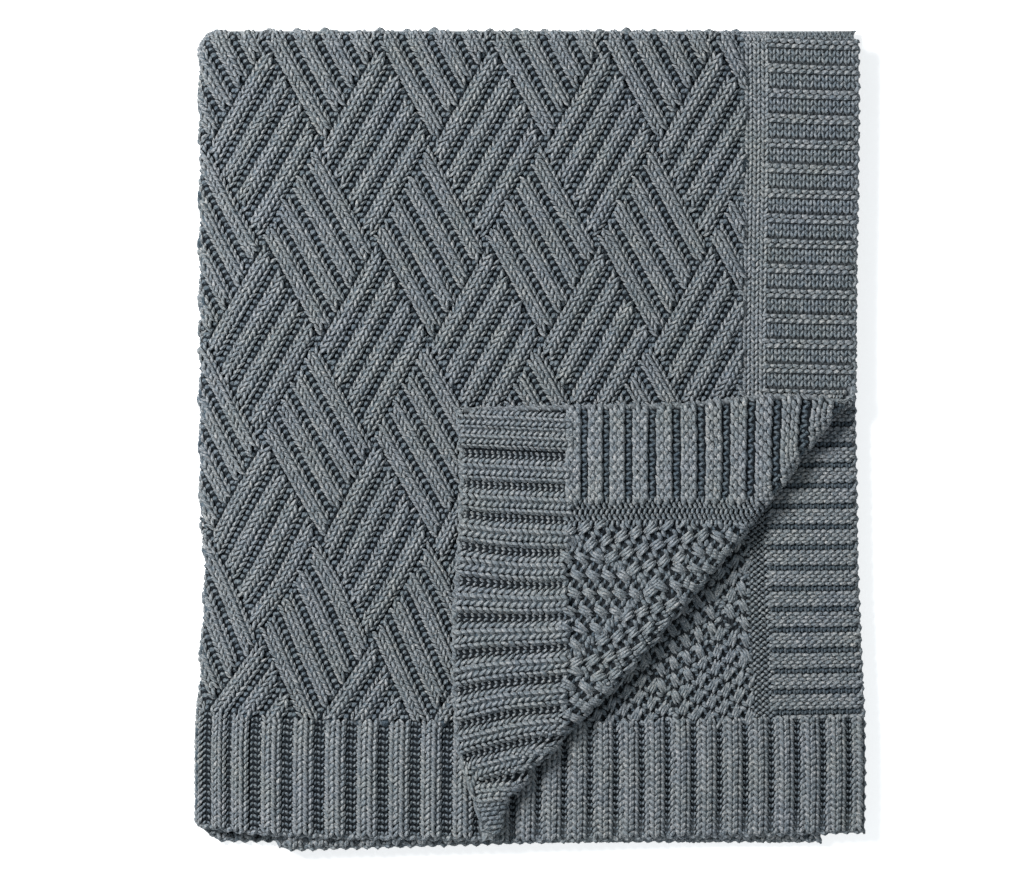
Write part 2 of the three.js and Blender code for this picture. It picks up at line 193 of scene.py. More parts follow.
def round_corner(x, y):
    """Rounds the top left corner: a square corner's places spread over a quarter of a disc."""
    a = np.maximum(0, FOLD_LEFT + FOLD_CORNER - x) / FOLD_CORNER
    b = np.maximum(0, y - FOLD_TOP - LAYER / 2 + FOLD_CORNER) / FOLD_CORNER
    drawn_a = a * np.sqrt(1 - np.minimum(1, b) ** 2 / 2)
    drawn_b = b * np.sqrt(1 - np.minimum(1, a) ** 2 / 2)
    return x + FOLD_CORNER * (a - drawn_a), y - FOLD_CORNER * (b - drawn_b)


def quarter_fold(s, t):
    """The four layers lying flat, turning from the outer to the inner ones at the crosswise fold."""
    outer_x, outer_z = outer_section(s, t)
    inner_x, inner_z = inner_section(s, t)
    radius = LAYER / 2
    arc = radius * math.pi / 2
    turn = np.clip(t / radius, -math.pi / 2, math.pi / 2)
    side = (1 + np.sin(turn)) / 2
    upper = smooth((s / FOLD_BLEND + 1) / 2)
    sag = eased(s / HALF_WIDTH, *TOP_CORNER_SAG)
    top = FOLD_TOP + mix(LOWER_FOLD_RISE, -sag, upper)
    down = np.maximum(0, np.abs(t) - arc) / (HALF_LENGTH - arc)
    y = mix(top, FOLD_TOP - hem_end(s, t, upper), down) + radius * np.cos(turn)
    x, y = round_corner(mix(inner_x, outer_x, side), y)
    return np.stack([x, y, mix(inner_z, outer_z, side)], -1)


crease_middle = (CREASE_FOOT + CREASE_HEAD) / 2
crease_half = np.linalg.norm(CREASE_HEAD - CREASE_FOOT) / 2
crease_along = (CREASE_HEAD - CREASE_FOOT) / (2 * crease_half)
crease_out = np.array([crease_along[1], -crease_along[0]])


def crease_bow(share):
    """The crease's bow at a share of its length: full by the foot and by the head, slight between them."""
    foot, middle, head = CREASE_BOW
    by_foot = 1 - eased(share, 1, *FOOT_BOW_ENDS)
    by_head = eased(share, 1, *HEAD_BOW_STARTS)
    ends = smooth(share / FOOT_TAPER) * (1 - eased(share, *HEAD_TAPER))
    return ends * (middle + (foot - middle) * by_foot + (head - middle) * by_head)


def crease_share(along):
    return np.clip((along / crease_half + 1) / 2, 0, 1)


def crease_place(place):
    """How far a place lies along the crease, the crease's bow there, and how far past it the place lies."""
    offset = place[..., :2] - crease_middle
    along = offset @ crease_along
    bow = crease_bow(crease_share(along))
    return along, bow, offset @ crease_out + bow


def flap_give():
    """The knit gives as it turns over: this much along and across the crease brings the corner home."""
    corner = quarter_fold(np.array(HALF_WIDTH), np.array(HALF_LENGTH))
    along, bow, past = crease_place(corner)
    over = past - math.pi * ROLL
    lands = CORNER_LANDS - crease_middle
    return (lands @ crease_along - along) / over, -(lands @ crease_out + bow) / over


flap_shear, flap_stretch = flap_give()


ACROSS = np.array([1.0, 0.0])
UPWARD = np.array([0.0, -1.0])


def turn_corner(place):
    """Turns what lies past the crease over a soft roll, onto the layer below."""
    along, bow, past = crease_place(place)
    turn = np.clip(past / ROLL, 0, math.pi)
    over = np.maximum(0, past - math.pi * ROLL)
    out = ROLL * np.sin(turn) - bow - flap_stretch * over
    on = along + flap_shear * over
    flat = crease_middle + on[..., None] * crease_along + out[..., None] * crease_out
    loose = (1 - smooth(crease_share(along) / FOOT_SPREAD_RUN)) * smooth(2 * turn / math.pi - 1)
    flat = flat - FOOT_SPREAD * loose[..., None] * ACROSS
    rise = ROLL * (1 - np.cos(turn))
    turned = np.concatenate([flat, (place[..., 2] + rise)[..., None]], -1)
    return np.where((past > 0)[..., None], turned, place)


def drape(s, t):
    """Middle of the cloth at (s, t), in millimetres."""
    place = quarter_fold(s, t)
    on_top = (s > 0) & (t > 0)
    return np.where(on_top[..., None], turn_corner(place), place)


NORMAL_STEP = 0.05
SHEAR_STEP = 0.5


def runs(s, t, step):
    """How the cloth runs across and down at (s, t), over a short step each way."""
    across = drape(s + step, t) - drape(s - step, t)
    down = drape(s, t + step) - drape(s, t - step)
    return across, down


def right_side(s, t):
    """Direction in which the right side of the knit faces."""
    across, down = runs(s, t, NORMAL_STEP)
    normal = np.cross(down, across)
    return normal / np.linalg.norm(normal, axis=-1, keepdims=True)


def lifted(s, t, h):
    return drape(s, t) + np.asarray(h)[..., None] * right_side(s, t)


def square_across(s, t):
    """Direction on the cloth that lies square to its wales where the cloth is sheared, as at (s, t)."""
    across, down = runs(np.array(s), np.array(t), SHEAR_STEP)
    return ACROSS + (across @ down) / (down @ down) * UPWARD


UPRIGHT = (0, 0, 0, 1)  # a lean is a slope before and after, where it starts to change, and its run
DEEPER_FROM = 474  # where the turned corner's hem begins to deepen
DEEPER_RUN = 152


def lean_at(lean, place):
    """A slope that passes from one value to another, from its start over its run."""
    first, last, start, run = lean
    return mix(first, last, smooth((place - start) / run))


class Layout:
    """How the knit lies on one face, drawn out or pushed together.

    hem is the hem's depth, border and strip are the widths of the side border and of the plain strip inside
    it, and wales and strip_wales count their wales. rib_line is the spacing of the leg lines on a hem rib, as
    a share of the ribs' pitch, and bumps are the lines of bumps on a welt, in rows from its crest. On the
    turned corner the hem deepens towards the side edge, ribs and welts lean a little, the cloth is sheared,
    as at one place given, and the painted shade of its ribs and of the purl between them differs less, since
    the light falls flatter there.
    """

    rib_lean = welt_lean = UPRIGHT
    across = ACROSS
    deeper = 0
    # painted shade of the hem's ribs and of the purl in their valleys, as tones
    rib_painted_shade = 1
    purl_painted_shade = 0.7  # painted shade of the purl: deep in a valley little light falls

    def __init__(self, hem, border, strip, wales, strip_wales, rib_line, bumps):
        self.hem, self.border, self.strip, self.bumps = hem, border, strip, bumps
        self.wales, self.strip_wales, self.rib_line = wales, strip_wales, rib_line
        self.border_edge = HALF_WIDTH - border
        self.field_edge = self.border_edge - strip

    def turned_back(self, deeper, rib_lean, welt_lean, sheared, rib_painted_shade, purl_painted_shade):
        self.rib_painted_shade, self.purl_painted_shade = rib_painted_shade, purl_painted_shade
        self.deeper, self.rib_lean, self.welt_lean = deeper, rib_lean, welt_lean
        self.across = square_across(*sheared)
        return self

    def rib(self, s, t):
        """Places down a line of the hem's ribs, at these rows."""
        lean = lean_at(self.rib_lean, s) * (HALF_LENGTH - self.hem / 2 - np.abs(t))
        return np.stack([s + lean, t], -1)

    def welt(self, s, t):
        """Places across the border along a row, leaning about the border's middle."""
        return t + lean_at(self.welt_lean, t) * (np.abs(s) - HALF_WIDTH + self.border / 2)

    def hem_top(self, s):
        return HALF_LENGTH - self.hem - eased(np.abs(s), self.deeper, DEEPER_FROM, DEEPER_RUN)

    def in_field(self, s, t):
        return (np.abs(s) < self.field_edge) & (np.abs(t) < self.hem_top(s))


FACE = Layout(hem=111, border=85, strip=23, wales=12, strip_wales=3, rib_line=0.158, bumps=(-0.52, 0.22))
FLAP = Layout(
    hem=97, border=77, strip=18, wales=10, strip_wales=2, rib_line=0.185, bumps=(-0.92, -0.3, 0.32, 0.94)
).turned_back(
    deeper=17, rib_lean=(0.2, -0.05, 400, 140), welt_lean=(-0.24, -0.1, 460, 80), sheared=(480, 700),
    rib_painted_shade=0.94, purl_painted_shade=0.95,
)
SECOND = Layout(
    hem=109, border=95, strip=23, wales=12, strip_wales=3, rib_line=0.185, bumps=(-1.12, -0.4, 0.32, 1.04)
)


# Where the knit can be seen: the face and its folds, the back of the turned corner, the second layer's back


def inside_edges(s, t):
    return (np.abs(s) < HALF_WIDTH - EDGE_CLEAR) & (np.abs(t) < HALF_LENGTH - EDGE_CLEAR)


def past_crease(s, t):
    return crease_place(quarter_fold(s, t))[2]


def on_face(s, t):
    place = quarter_fold(s, t)
    under_flap = (place[..., 0] > CORNER_LANDS[0] + COVERED) & (place[..., 1] < CORNER_LANDS[1] - COVERED)
    round_fold = -SIDE_WRAP * fold_radius(t)
    top_layer = (s > round_fold) & (t > -TOP_WRAP) & ~under_flap & (past_crease(s, t) < 0)
    lower_fold = (s <= round_fold) & (t > -TOP_WRAP) & (t < UNDER_FOLD)
    return top_layer | lower_fold


def on_flap(s, t):
    above_tip = drape(s, t)[..., 1] > TIP_TOP
    return (s > 0) & (t > 0) & (past_crease(s, t) > -UNDER_ROLL / 2) & above_tip


def on_second(s, t):
    return (s > 0) & (t < 0) & (past_crease(s, t) > -UNDER_ROLL)


# Stitches: each is a short strand of yarn between two places on the cloth


TIGHT_TOP = 7.5  # how near the crosswise fold, or the middle of the crease's roll, the cloth bends tightly
TIGHT_CREASE = 15
FOLD_LENGTHS = 3  # lengths that a strand is laid in there
FOLD_OVERLAP = 1.5
RUNS_OVER = 5  # a strand runs over a fold if its ends lie this far apart across it


def along_folds(rows):
    """Lays strands that cross a tight fold in shorter lengths, so that they follow its curve."""
    start, end = rows[:, 0:2], rows[:, 2:4]
    s, t = ((start + end) / 2).T
    from_crease, to_crease = past_crease(*start.T), past_crease(*end.T)
    off_crease = np.abs((from_crease + to_crease) / 2 - math.pi * ROLL / 2)
    over_crease = (off_crease < TIGHT_CREASE) & (np.abs(to_crease - from_crease) > RUNS_OVER)
    over_top = (np.abs(t) < TIGHT_TOP) & (np.abs(end[:, 1] - start[:, 1]) > RUNS_OVER)
    tight = over_top | ((s > 0) & (t > 0) & over_crease)
    half = (end - start)[tight] * FOLD_OVERLAP / FOLD_LENGTHS / 2
    lengths = [rows[~tight]]
    for k in range(FOLD_LENGTHS):
        middle = mix(start[tight], end[tight], (k + 0.5) / FOLD_LENGTHS)
        lengths.append(np.column_stack([middle - half, middle + half, rows[tight, 4:]]))
    return np.concatenate(lengths)


class Stitches:
    """Strands of one kind for one piece: arrays of starts, ends, heights, widths, thicknesses and tones."""

    def __init__(self):
        self.rows = []

    def add(self, middle, half, height, width, thick=1, tone=1):
        """Strands that reach half to each side of their middles (s, t), at a height towards the side that
        shows, each this wide, thick as a share of its width, and paler or darker by its tone, which is
        painted shade for stitches that lie deep."""
        rest = [np.broadcast_to(value, (len(middle),)) for value in (height, width, thick, tone)]
        self.rows.append(np.column_stack([middle - half, middle + half, *rest]))

    def keep(self, shown):
        """Drops every strand whose middle isn't where this side of the cloth shows."""
        rows = along_folds(np.concatenate(self.rows))
        s, t = ((rows[:, 0:2] + rows[:, 2:4]) / 2).T
        self.rows = [rows[inside_edges(s, t) & shown(s, t)]]
        return self

    def table(self):
        return np.concatenate(self.rows)


# A knit stitch's two legs part towards the top
LEG_ROWS = 1.5  # rows that a leg reaches over
LEG_PART = 0.54  # how far it slants to each side of its line, of the step to the next line
LEG_WIDTH = 1.4  # of the gap from one leg to the next, so that they press together


def legs(stitches, places, row, across, height, left, tone=1, part=LEG_PART):
    """Left or right legs of knit stitches at these places (s, t): row is the step from one stitch up to the
    next, across the step from one line of legs to the next."""
    part = part * across * (1 if left else -1)
    lie = LEG_ROWS * row - 2 * part
    gap = abs(row[0] * lie[1] - row[1] * lie[0]) / np.linalg.norm(lie)
    stitches.add(places, lie / 2, height, LEG_WIDTH * gap, tone=tone)


def rows_between(top, bottom, pitch=ROW):
    return np.arange(math.ceil(top / pitch), math.floor(bottom / pitch) + 1) * pitch


def block_lines(right, shares, row=ROW, short=0):
    """Lines along the ribs of the lattice blocks that lean right or left, at these shares of the way across
    a block: places (s, t) on every row, and short of the block's ends by this share."""
    blocks = np.arange(-LATTICE_BLOCKS, LATTICE_BLOCKS + 1)
    i, j = grid(blocks, blocks)
    leaning = ((i + j) % 2 == 0) == right
    i, j = i[leaning], j[leaning]
    across = np.asarray(shares)[None, :] - 0.5
    start = [i[:, None] + (across if not right else -0.5), j[:, None] + (across if right else -0.5)]
    p, q = np.broadcast_arrays(*start)
    half = np.array([LATTICE_WIDTH, LATTICE_HEIGHT]) / 2
    first = np.stack([LATTICE_S + (p + q) * half[0], LATTICE_T + (q - p) * half[1]], -1).reshape(-1, 2)
    step = half * (1, -1 if right else 1)
    count = int(LATTICE_HEIGHT / 2 / row) + 1
    begin = np.where(step[1] < 0, np.floor(first[:, 1] / row), np.ceil(first[:, 1] / row)) * row
    t = begin[:, None] + np.arange(count) * row * np.sign(step[1])
    share = (t - first[:, 1:2]) / step[1]
    inside = (share >= short) & (share < 1 - short)
    places = (first[:, None, :] + share[..., None] * step)[inside]
    top, top_run, hem, hem_start, hem_run = LATTICE_SWAY
    below = np.abs(places[:, 1])
    places[:, 0] += top * np.exp(-below / top_run) - eased(below, hem, hem_start, hem_run)
    return places


RIB_HEIGHTS = [2.5, 5.2, 5.2, 2.5]  # of the four leg lines across a rib, above the middle of the cloth
RIB_TONE = 0.97
RIB_PART = 0.47  # legs on a lattice rib part a little less
RIB_LINE = 0.18  # spacing of the leg lines on a rib, as a share of the ribs' pitch
RIB_SQUARE = 0.9  # how far the stitches turn to stand square to a leaning rib
VALLEY_HEIGHT = 0.3  # of the beads between ribs
BOUNDARY_HEIGHT = 0  # and of those along a block's sides

# Each rib is stuffed with the yarn behind its stitches, in lengths of two rows
STUFFING_ROWS = 2
STUFFING_OVERLAP = 1.4
STUFFING_WIDTH = 0.5  # of the ribs' pitch
STUFFING_THICK = 0.45
STUFFING_HEIGHT = 1.3
# painted shade: the stuffing lies deep behind the stitches
STUFFING_PAINTED_SHADE = 0.4
STUFFING_SHORT = 0.09  # of a block's height
CROWN_PAINTED_SHADE = 0.9  # less painted shade over the fold's crown, where the stuffing shows between the stitches
CROWN_RUN = 18


def stuffing(stitches, places, row, pitch):
    half = STUFFING_OVERLAP * STUFFING_ROWS * row / 2
    width = STUFFING_WIDTH * pitch
    tone = mix(CROWN_PAINTED_SHADE, STUFFING_PAINTED_SHADE, smooth(np.abs(places[:, 1]) / CROWN_RUN))
    stitches.add(places, half, STUFFING_HEIGHT, width, STUFFING_THICK, tone)


def on_field_face(s, t):
    return FACE.in_field(s, t) & on_face(s, t)


def lattice_ribs(right):
    """Ribs of the lattice blocks that lean one way: two wales of knit stitches each, over their stuffing."""
    stitches, stuffed = Stitches(), Stitches()
    lean = LATTICE_WIDTH / LATTICE_HEIGHT * (1 if right else -1)
    row = ROW * np.array([lean, -1])
    pitch = LATTICE_WIDTH / LATTICE_RIBS
    spacing = RIB_LINE * pitch
    square = spacing * np.array([1, lean]) / (1 + lean * lean)
    across = mix(spacing * ACROSS, square, RIB_SQUARE)
    middles = (np.arange(LATTICE_RIBS) + 0.5) / LATTICE_RIBS
    for line, height in enumerate(RIB_HEIGHTS):
        places = block_lines(right, middles + (line - MIDDLE_LINE) * RIB_LINE / LATTICE_RIBS)
        legs(stitches, places, row, across, height, line % 2 == 0, RIB_TONE, RIB_PART)
    lengths = block_lines(right, middles, STUFFING_ROWS * ROW, STUFFING_SHORT)
    stuffing(stuffed, lengths, row, pitch / math.hypot(1, lean))
    return stitches.keep(on_field_face), stuffed.keep(on_field_face)


BEAD_LENGTHS = [7.0, 5.8]  # purl bumps in the valleys, large and small in turn
BEAD_WIDTHS = [5.0, 4.4]
# painted shade: the beads lie deep between the ribs
BEAD_PAINTED_SHADE = 0.62
FIELD_SEAM = 2.5  # how far inside the field's edge its last line of beads lies


def valley_beads():
    """Purl bumps in the valleys between the lattice ribs, and along the sides of each block."""
    stitches = Stitches()
    for right in (True, False):
        for k in range(LATTICE_RIBS + 1):
            places = block_lines(right, [k / LATTICE_RIBS])
            odd = np.round(places[:, 1] / ROW).astype(int) % 2
            half = np.take(BEAD_LENGTHS, odd)[:, None] / 2 * ACROSS
            height = VALLEY_HEIGHT if 0 < k < LATTICE_RIBS else BOUNDARY_HEIGHT
            stitches.add(places, half, height, np.take(BEAD_WIDTHS, odd), tone=BEAD_PAINTED_SHADE)
    places = column(FACE.field_edge - FIELD_SEAM, rows_between(0, HALF_LENGTH))
    half = BEAD_LENGTHS[0] / 2 * ACROSS
    stitches.add(places, half, VALLEY_HEIGHT, BEAD_WIDTHS[0], tone=BEAD_PAINTED_SHADE)
    return stitches.keep(on_field_face)


HEM_ROW = 5.8
HEM_HEIGHTS = [3.0, 5.4, 5.4, 3.0]
HEM_VALLEY = 0.6  # height of the purl between ribs
HEM_OVERLAP = 4  # how far the ribs run on above the hem
PURL_COLUMN = 3.7  # about how wide a column of purl is in a valley
PURL_SLANT = 0.8  # rise of a purl strand, in rows
PURL_WIDTH = 2.7


def column(s, rows):
    return np.stack([np.full(len(rows), s), rows], -1)


def hem_ribs(knit, purl, stuffed, crests, layout, sign=1, depth=None):
    """Ribs down the hem: two wales of knit on each crest, over stuffing, with purl in the valleys."""

    def rows_at(s, pitch):
        top = layout.hem_top(s) - HEM_OVERLAP if depth is None else HALF_LENGTH - depth
        return rows_between(*sorted((sign * top, sign * HALF_LENGTH)), pitch)

    for crest, pitch in zip(crests, np.gradient(crests)):
        spacing = layout.rib_line * pitch
        row = HEM_ROW * (UPWARD + lean_at(layout.rib_lean, crest) * ACROSS)
        for line, height in enumerate(HEM_HEIGHTS):
            places = layout.rib(crest + (line - MIDDLE_LINE) * spacing, rows_at(crest, HEM_ROW))
            legs(knit, places, row, spacing * layout.across, height, line % 2 == 0, layout.rib_painted_shade)
        lengths = rows_at(crest, STUFFING_ROWS * HEM_ROW)[1:-1]
        stuffing(stuffed, layout.rib(crest, lengths), row, pitch)
    for low, high in zip(crests, crests[1:]):
        valley = (high - low) * (1 - LEG_LINES * layout.rib_line)
        middle = (low + high) / 2
        columns = max(2, round(valley / PURL_COLUMN))
        for count in range(columns):
            slant = PURL_SLANT if count % 2 == 0 else -PURL_SLANT
            places = layout.rib(middle + ((count + 0.5) / columns - 0.5) * valley, rows_at(middle, HEM_ROW))
            half = valley / columns / 2 * ACROSS + slant * HEM_ROW / 2 * UPWARD
            purl.add(places, half, HEM_VALLEY, PURL_WIDTH, tone=layout.purl_painted_shade)


STRIP_HEIGHT = 1.6
STRIP_TONE = 0.86


def plain_strip(knit, rows, layout, side):
    """Smooth knit between the lattice and the border at one side."""
    lines = 2 * layout.strip_wales
    spacing = layout.strip / lines
    for line in range(lines):
        s = side * (layout.field_edge + layout.strip / 2) + (line + 0.5 - lines / 2) * spacing
        places = column(s, rows)
        legs(knit, places, ROW * UPWARD, spacing * ACROSS, STRIP_HEIGHT, line % 2 == 0)


WELT_ROWS = 4  # rows to a welt and the dip beside it
WELT_HEIGHT = 3.0
WELT_BUMP = (0.66, 0.85)  # a bump's width, of a wale's, and at most this much of a row's height
WELT_BUMP_REACH = 0.6  # half a bump's length, of a wale's width
WALE_LEGS = (-0.25, 0.25)  # places of a stitch's legs, of a wale's width from its middle

# Rows of knit in the dip beside a welt, counted from its crest, with their height and tone, the tone a
# painted shade, as little light reaches into a dip. What is a narrow welt on the face is a narrow dip on the
# back.
FACE_DIP = ((1.14, 2.2), 0.9, 0.8)
BACK_DIP = ((2.0,), 0.3, 0.5)


def above_hem(layout, across, down):
    """Every place on these lines across and down the cloth, as far as the hem."""
    s, t = grid(across, down)
    t = layout.welt(s, t)
    above = np.abs(t) < layout.hem_top(s)
    return np.column_stack([s, t])[above]


def welts(knit, purl, crests, layout, side=1, back=False):
    """Welts across one side border: lines of purl bumps on each crest, rows of knit in each dip."""
    rows = np.gradient(crests) / WELT_ROWS
    row = abs(rows.mean())
    wale = layout.border / layout.wales
    middle = side * (layout.border_edge + layout.border / 2)
    bounds = middle + (np.arange(layout.wales + 1) - layout.wales / 2) * wale
    middles = (bounds[1:] + bounds[:-1]) / 2
    of_wale, of_row = WELT_BUMP
    width = min(of_wale * wale, of_row * row)
    for line, step in enumerate(layout.bumps):
        wales, bow = (bounds, -1) if line % 2 == 0 else (middles, 1)
        places = above_hem(layout, wales, crests + step * rows)
        half = WELT_BUMP_REACH * wale * ACROSS * bow
        purl.add(places, half, WELT_HEIGHT, width)
    steps, height, tone = BACK_DIP if back else FACE_DIP
    for step in steps:
        for leg in WALE_LEGS:
            places = above_hem(layout, middles + leg * wale, crests + step * rows)
            legs(knit, places, row * UPWARD, wale / 2 * layout.across, height, leg < 0, tone)


def crest_lines(first, pitch, low, high):
    """Every crest from first at this pitch, both ways, between two limits."""
    return first + pitch * np.arange(math.ceil((low - first) / pitch), math.floor((high - first) / pitch) + 1)


# Crests of the hem ribs and border welts: their first line and pitch on each face that shows
FLAP_HEM = (308.1, 26.86, 4.5)  # and how far the crests creep towards both ends
FLAP_HEM_COUNT = 11
FLAP_EDGE_RIB = 619  # the side edge pushes one more rib close to the last
SECOND_HEM = (296.5, 27.55)
FACE_WELTS = (9, 23.75)
SECOND_WELTS = (-638, 19.74)
FLAP_WELTS = (624.3, 22.4, 0.5)  # this pitch at the hem, growing towards the crease
FLAP_WELT_COUNT = 16
BEYOND = 2  # ribs or welts counted on before the first one, where some of their stitches may show

FACE_HEM_PITCH = 30.4
FACE_HEM_CROWD = 18  # how far the ribs have crept towards the lengthwise fold, where they crowd together
FACE_HEM_EASE = 2.4  # ribs from the fold to where they lie evenly


def face_hem_crests():
    """Crests of the ribs on the face's hem, counted both ways from the lengthwise fold."""
    count = math.ceil(HALF_WIDTH / FACE_HEM_PITCH)
    rib = np.arange(-BEYOND, count + 1)
    crept = FACE_HEM_CROWD * np.sign(rib) * smooth(np.abs(rib) / FACE_HEM_EASE)
    return rib * FACE_HEM_PITCH - crept


def second_hem_crests():
    return crest_lines(*SECOND_HEM, 0, HALF_WIDTH + SECOND_HEM[1])


def flap_hem_crests():
    first, pitch, drawn = FLAP_HEM
    rib = np.arange(-1, FLAP_HEM_COUNT + 1)
    crests = first + pitch * rib - drawn * np.sin(2 * math.pi * rib / FLAP_HEM_COUNT)
    return np.append(crests, [FLAP_EDGE_RIB, FLAP_EDGE_RIB + pitch])


def flap_welt_crests():
    first, pitch, growth = FLAP_WELTS
    welt = np.arange(-BEYOND, FLAP_WELT_COUNT)
    return first - pitch * welt - growth * welt * np.abs(welt)


def face_edges():
    """Hem, border and plain strip on the face of the top layer and round its folds."""
    knit, purl, stuffed, bumps = (Stitches() for _ in range(4))
    hem_ribs(knit, purl, stuffed, face_hem_crests(), FACE)
    crests = crest_lines(*FACE_WELTS, -BEYOND * FACE_WELTS[1], HALF_LENGTH)
    rows = rows_between(-TOP_WRAP, HALF_LENGTH - FACE.hem)
    for side in (-1, 1):
        welts(knit, bumps, crests, FACE, side)
        plain_strip(knit, rows, FACE, side)
    return [rows.keep(on_face) for rows in (knit, purl, stuffed, bumps)]


BACK_LINES = 10  # lines of floats across a block
BACK_ROW = 5.3
FLOAT_ROWS = 4  # rows from one float to the next
FLOAT_STRANDS = 3  # strands side by side in a float
FLOAT_SPREAD = 2.5  # from one of these strands to the next
FLOAT_SIZE = (15.5, 3.5)  # length and width of a strand
FLOAT_HEIGHT = 2.8
FLOAT_TONE = 0.94
KNOT_PLACES = ((1, 0.3, 0.62), (2, -0.5, 1), (2, 0.5, 1), (3, -0.3, 0.62))  # row, steps along a float, and size, which also scales the painted shade
KNOT_STEP = 5.2
KNOT_SIZE = (9.0, 4.6)  # length and width of the largest
KNOT_HEIGHT = 1.4
# painted shade: the knots lie low between the floats
KNOT_PAINTED_SHADE = 0.82
SEAM_HEIGHT = 0.8  # of the knots along a block's side


def back_field(floats, knots):
    """Back of the lattice: stout floats that slant across the ribs, with small knots between them."""
    for right in (True, False):
        seams = block_lines(right, [0], BACK_ROW)
        half = KNOT_SIZE[0] / 2 * ACROSS
        knots.add(seams, half, SEAM_HEIGHT, KNOT_SIZE[1], tone=KNOT_PAINTED_SHADE)
        lean = np.array([LATTICE_WIDTH * (-1 if right else 1), -LATTICE_HEIGHT])
        up = lean / np.linalg.norm(lean)
        beside = np.array([-up[1], up[0]])
        for line in range(BACK_LINES):
            places = block_lines(right, [(line + 0.5) / BACK_LINES], BACK_ROW)
            step_down = line if right else -line
            row = (np.round(places[:, 1] / BACK_ROW).astype(int) + step_down) % FLOAT_ROWS
            reach = up * FLOAT_SIZE[0] / 2
            for strand_place in np.arange(FLOAT_STRANDS) - (FLOAT_STRANDS - 1) / 2:
                middles = places[row == 0] + strand_place * FLOAT_SPREAD * beside
                floats.add(middles, reach, FLOAT_HEIGHT, FLOAT_SIZE[1], tone=FLOAT_TONE)
            for at_row, step, size in KNOT_PLACES:
                middles = places[row == at_row] + step * KNOT_STEP * up
                reach = size * beside * KNOT_SIZE[0] / 2 * (1 if step > 0 else -1)
                sizes = (size * KNOT_HEIGHT, size * KNOT_SIZE[1])
                knots.add(middles, reach, *sizes, tone=size * KNOT_PAINTED_SHADE)


STRIP_BUMP = (0.36, 0.26)  # half a bump's length in wales and half its rise in rows
STRIP_BUMP_WIDTH = 0.56  # of a row


def purl_strip(purl, rows, layout):
    """Back of the plain strip: lines of purl bumps that bow up and down in turn."""
    wale = layout.strip / layout.strip_wales
    for line in range(2 * layout.strip_wales + 1):
        bow = 1 if line % 2 == 0 else -1
        places = above_hem(layout, [layout.field_edge + line * wale / 2], rows + bow * ROW / 4)
        half = STRIP_BUMP[0] * wale * ACROSS + STRIP_BUMP[1] * ROW * bow * UPWARD
        purl.add(places, half, STRIP_HEIGHT, STRIP_BUMP_WIDTH * ROW, tone=STRIP_TONE)


def back_faces(sign, hem, border, layout, shown):
    """Back of the turned corner or of the second layer: hem, border, plain strip and lattice."""
    knit, purl, stuffed, floats, knots = (Stitches() for _ in range(5))
    hem_ribs(knit, purl, stuffed, hem, layout, sign)
    welts(knit, knots, border, layout, back=True)
    purl_strip(knots, rows_between(*sorted((0, sign * (HALF_LENGTH - layout.hem)))), layout)
    knots.keep(shown)
    field_knots = Stitches()
    back_field(floats, field_knots)

    def in_shown_field(s, t):
        return layout.in_field(s, t) & shown(s, t)

    edges = [rows.keep(shown) for rows in (knit, purl, stuffed)]
    knots.rows += field_knots.keep(in_shown_field).rows
    return [*edges, knots, floats.keep(in_shown_field)]


# Seen from above, the tip's knit lies straight although the cloth under it is pulled askew
TIP_START = np.array([-78, -334])  # first stitch of the first line
TIP_SLOPE = 0.14  # of the lines
TIP_ROW = 5.4  # from one stitch to the next along a line
TIP_LINE = 4.3  # from one line to the next
TIP_LEG_LINES = 4  # lines of legs, before those of bumps
TIP_LINES = 12
TIP_STITCHES = 18  # to a line
TIP_LEG_HEIGHT, TIP_BUMP_HEIGHT = 4.2, 2.2
TIP_WIDTH = 4.2
TIP_BUMP_TONE = 0.8
TIP_BUMP_SLANT = 0.4  # of a leg's slant
TIP_ACROSS = (280, 360)  # the part of the cloth that can lie at the tip, and how closely it is searched
TIP_DOWN = (690, HALF_LENGTH - 2)
TIP_GRAIN = 0.6
TIP_MISS = 2.5  # a stitch further than this from the cloth isn't laid


def tip_cloth():
    """Places on the cloth at the tip, and where they lie seen from above."""
    across, down = np.arange(*TIP_ACROSS, TIP_GRAIN), np.arange(*TIP_DOWN, TIP_GRAIN)
    s, t = grid(across, down)
    upper = past_crease(s, t) > math.pi * ROLL / 2 - EDGE_CLEAR
    s, t = s[upper], t[upper]
    return np.column_stack([s, t]), drape(s, t)[:, :2]


def tip(knit, bumps):
    """The tip of the turned corner: the end of a knit rib, then lines of purl bumps."""
    cloth, seen = tip_cloth()
    along = np.array([1, TIP_SLOPE])
    up = np.array([-TIP_SLOPE, 1])
    for line in range(TIP_LINES):
        leg = line < TIP_LEG_LINES
        turn = 1 if line % 2 == 0 else -1
        slant = turn * LEG_PART * TIP_LINE * up * (1 if leg else TIP_BUMP_SLANT)
        half = LEG_ROWS * TIP_ROW * along / 2 + slant
        count = np.arange(TIP_STITCHES)[:, None] + (0 if leg else line % 2 / 2)
        middles = TIP_START + count * TIP_ROW * along - line * TIP_LINE * up
        ends = [np.linalg.norm(seen - at[:, None], axis=2) for at in (middles - half, middles + half)]
        near = np.maximum(ends[0].min(1), ends[1].min(1)) < TIP_MISS
        first, last = (cloth[end[near].argmin(1)] for end in ends)
        lie = ((first + last) / 2, (last - first) / 2)
        if leg:
            knit.add(*lie, TIP_LEG_HEIGHT, TIP_WIDTH)
        else:
            bumps.add(*lie, TIP_BUMP_HEIGHT, TIP_WIDTH, tone=TIP_BUMP_TONE)


HEM_END = 16  # how much of the lower layers' hems peeks out


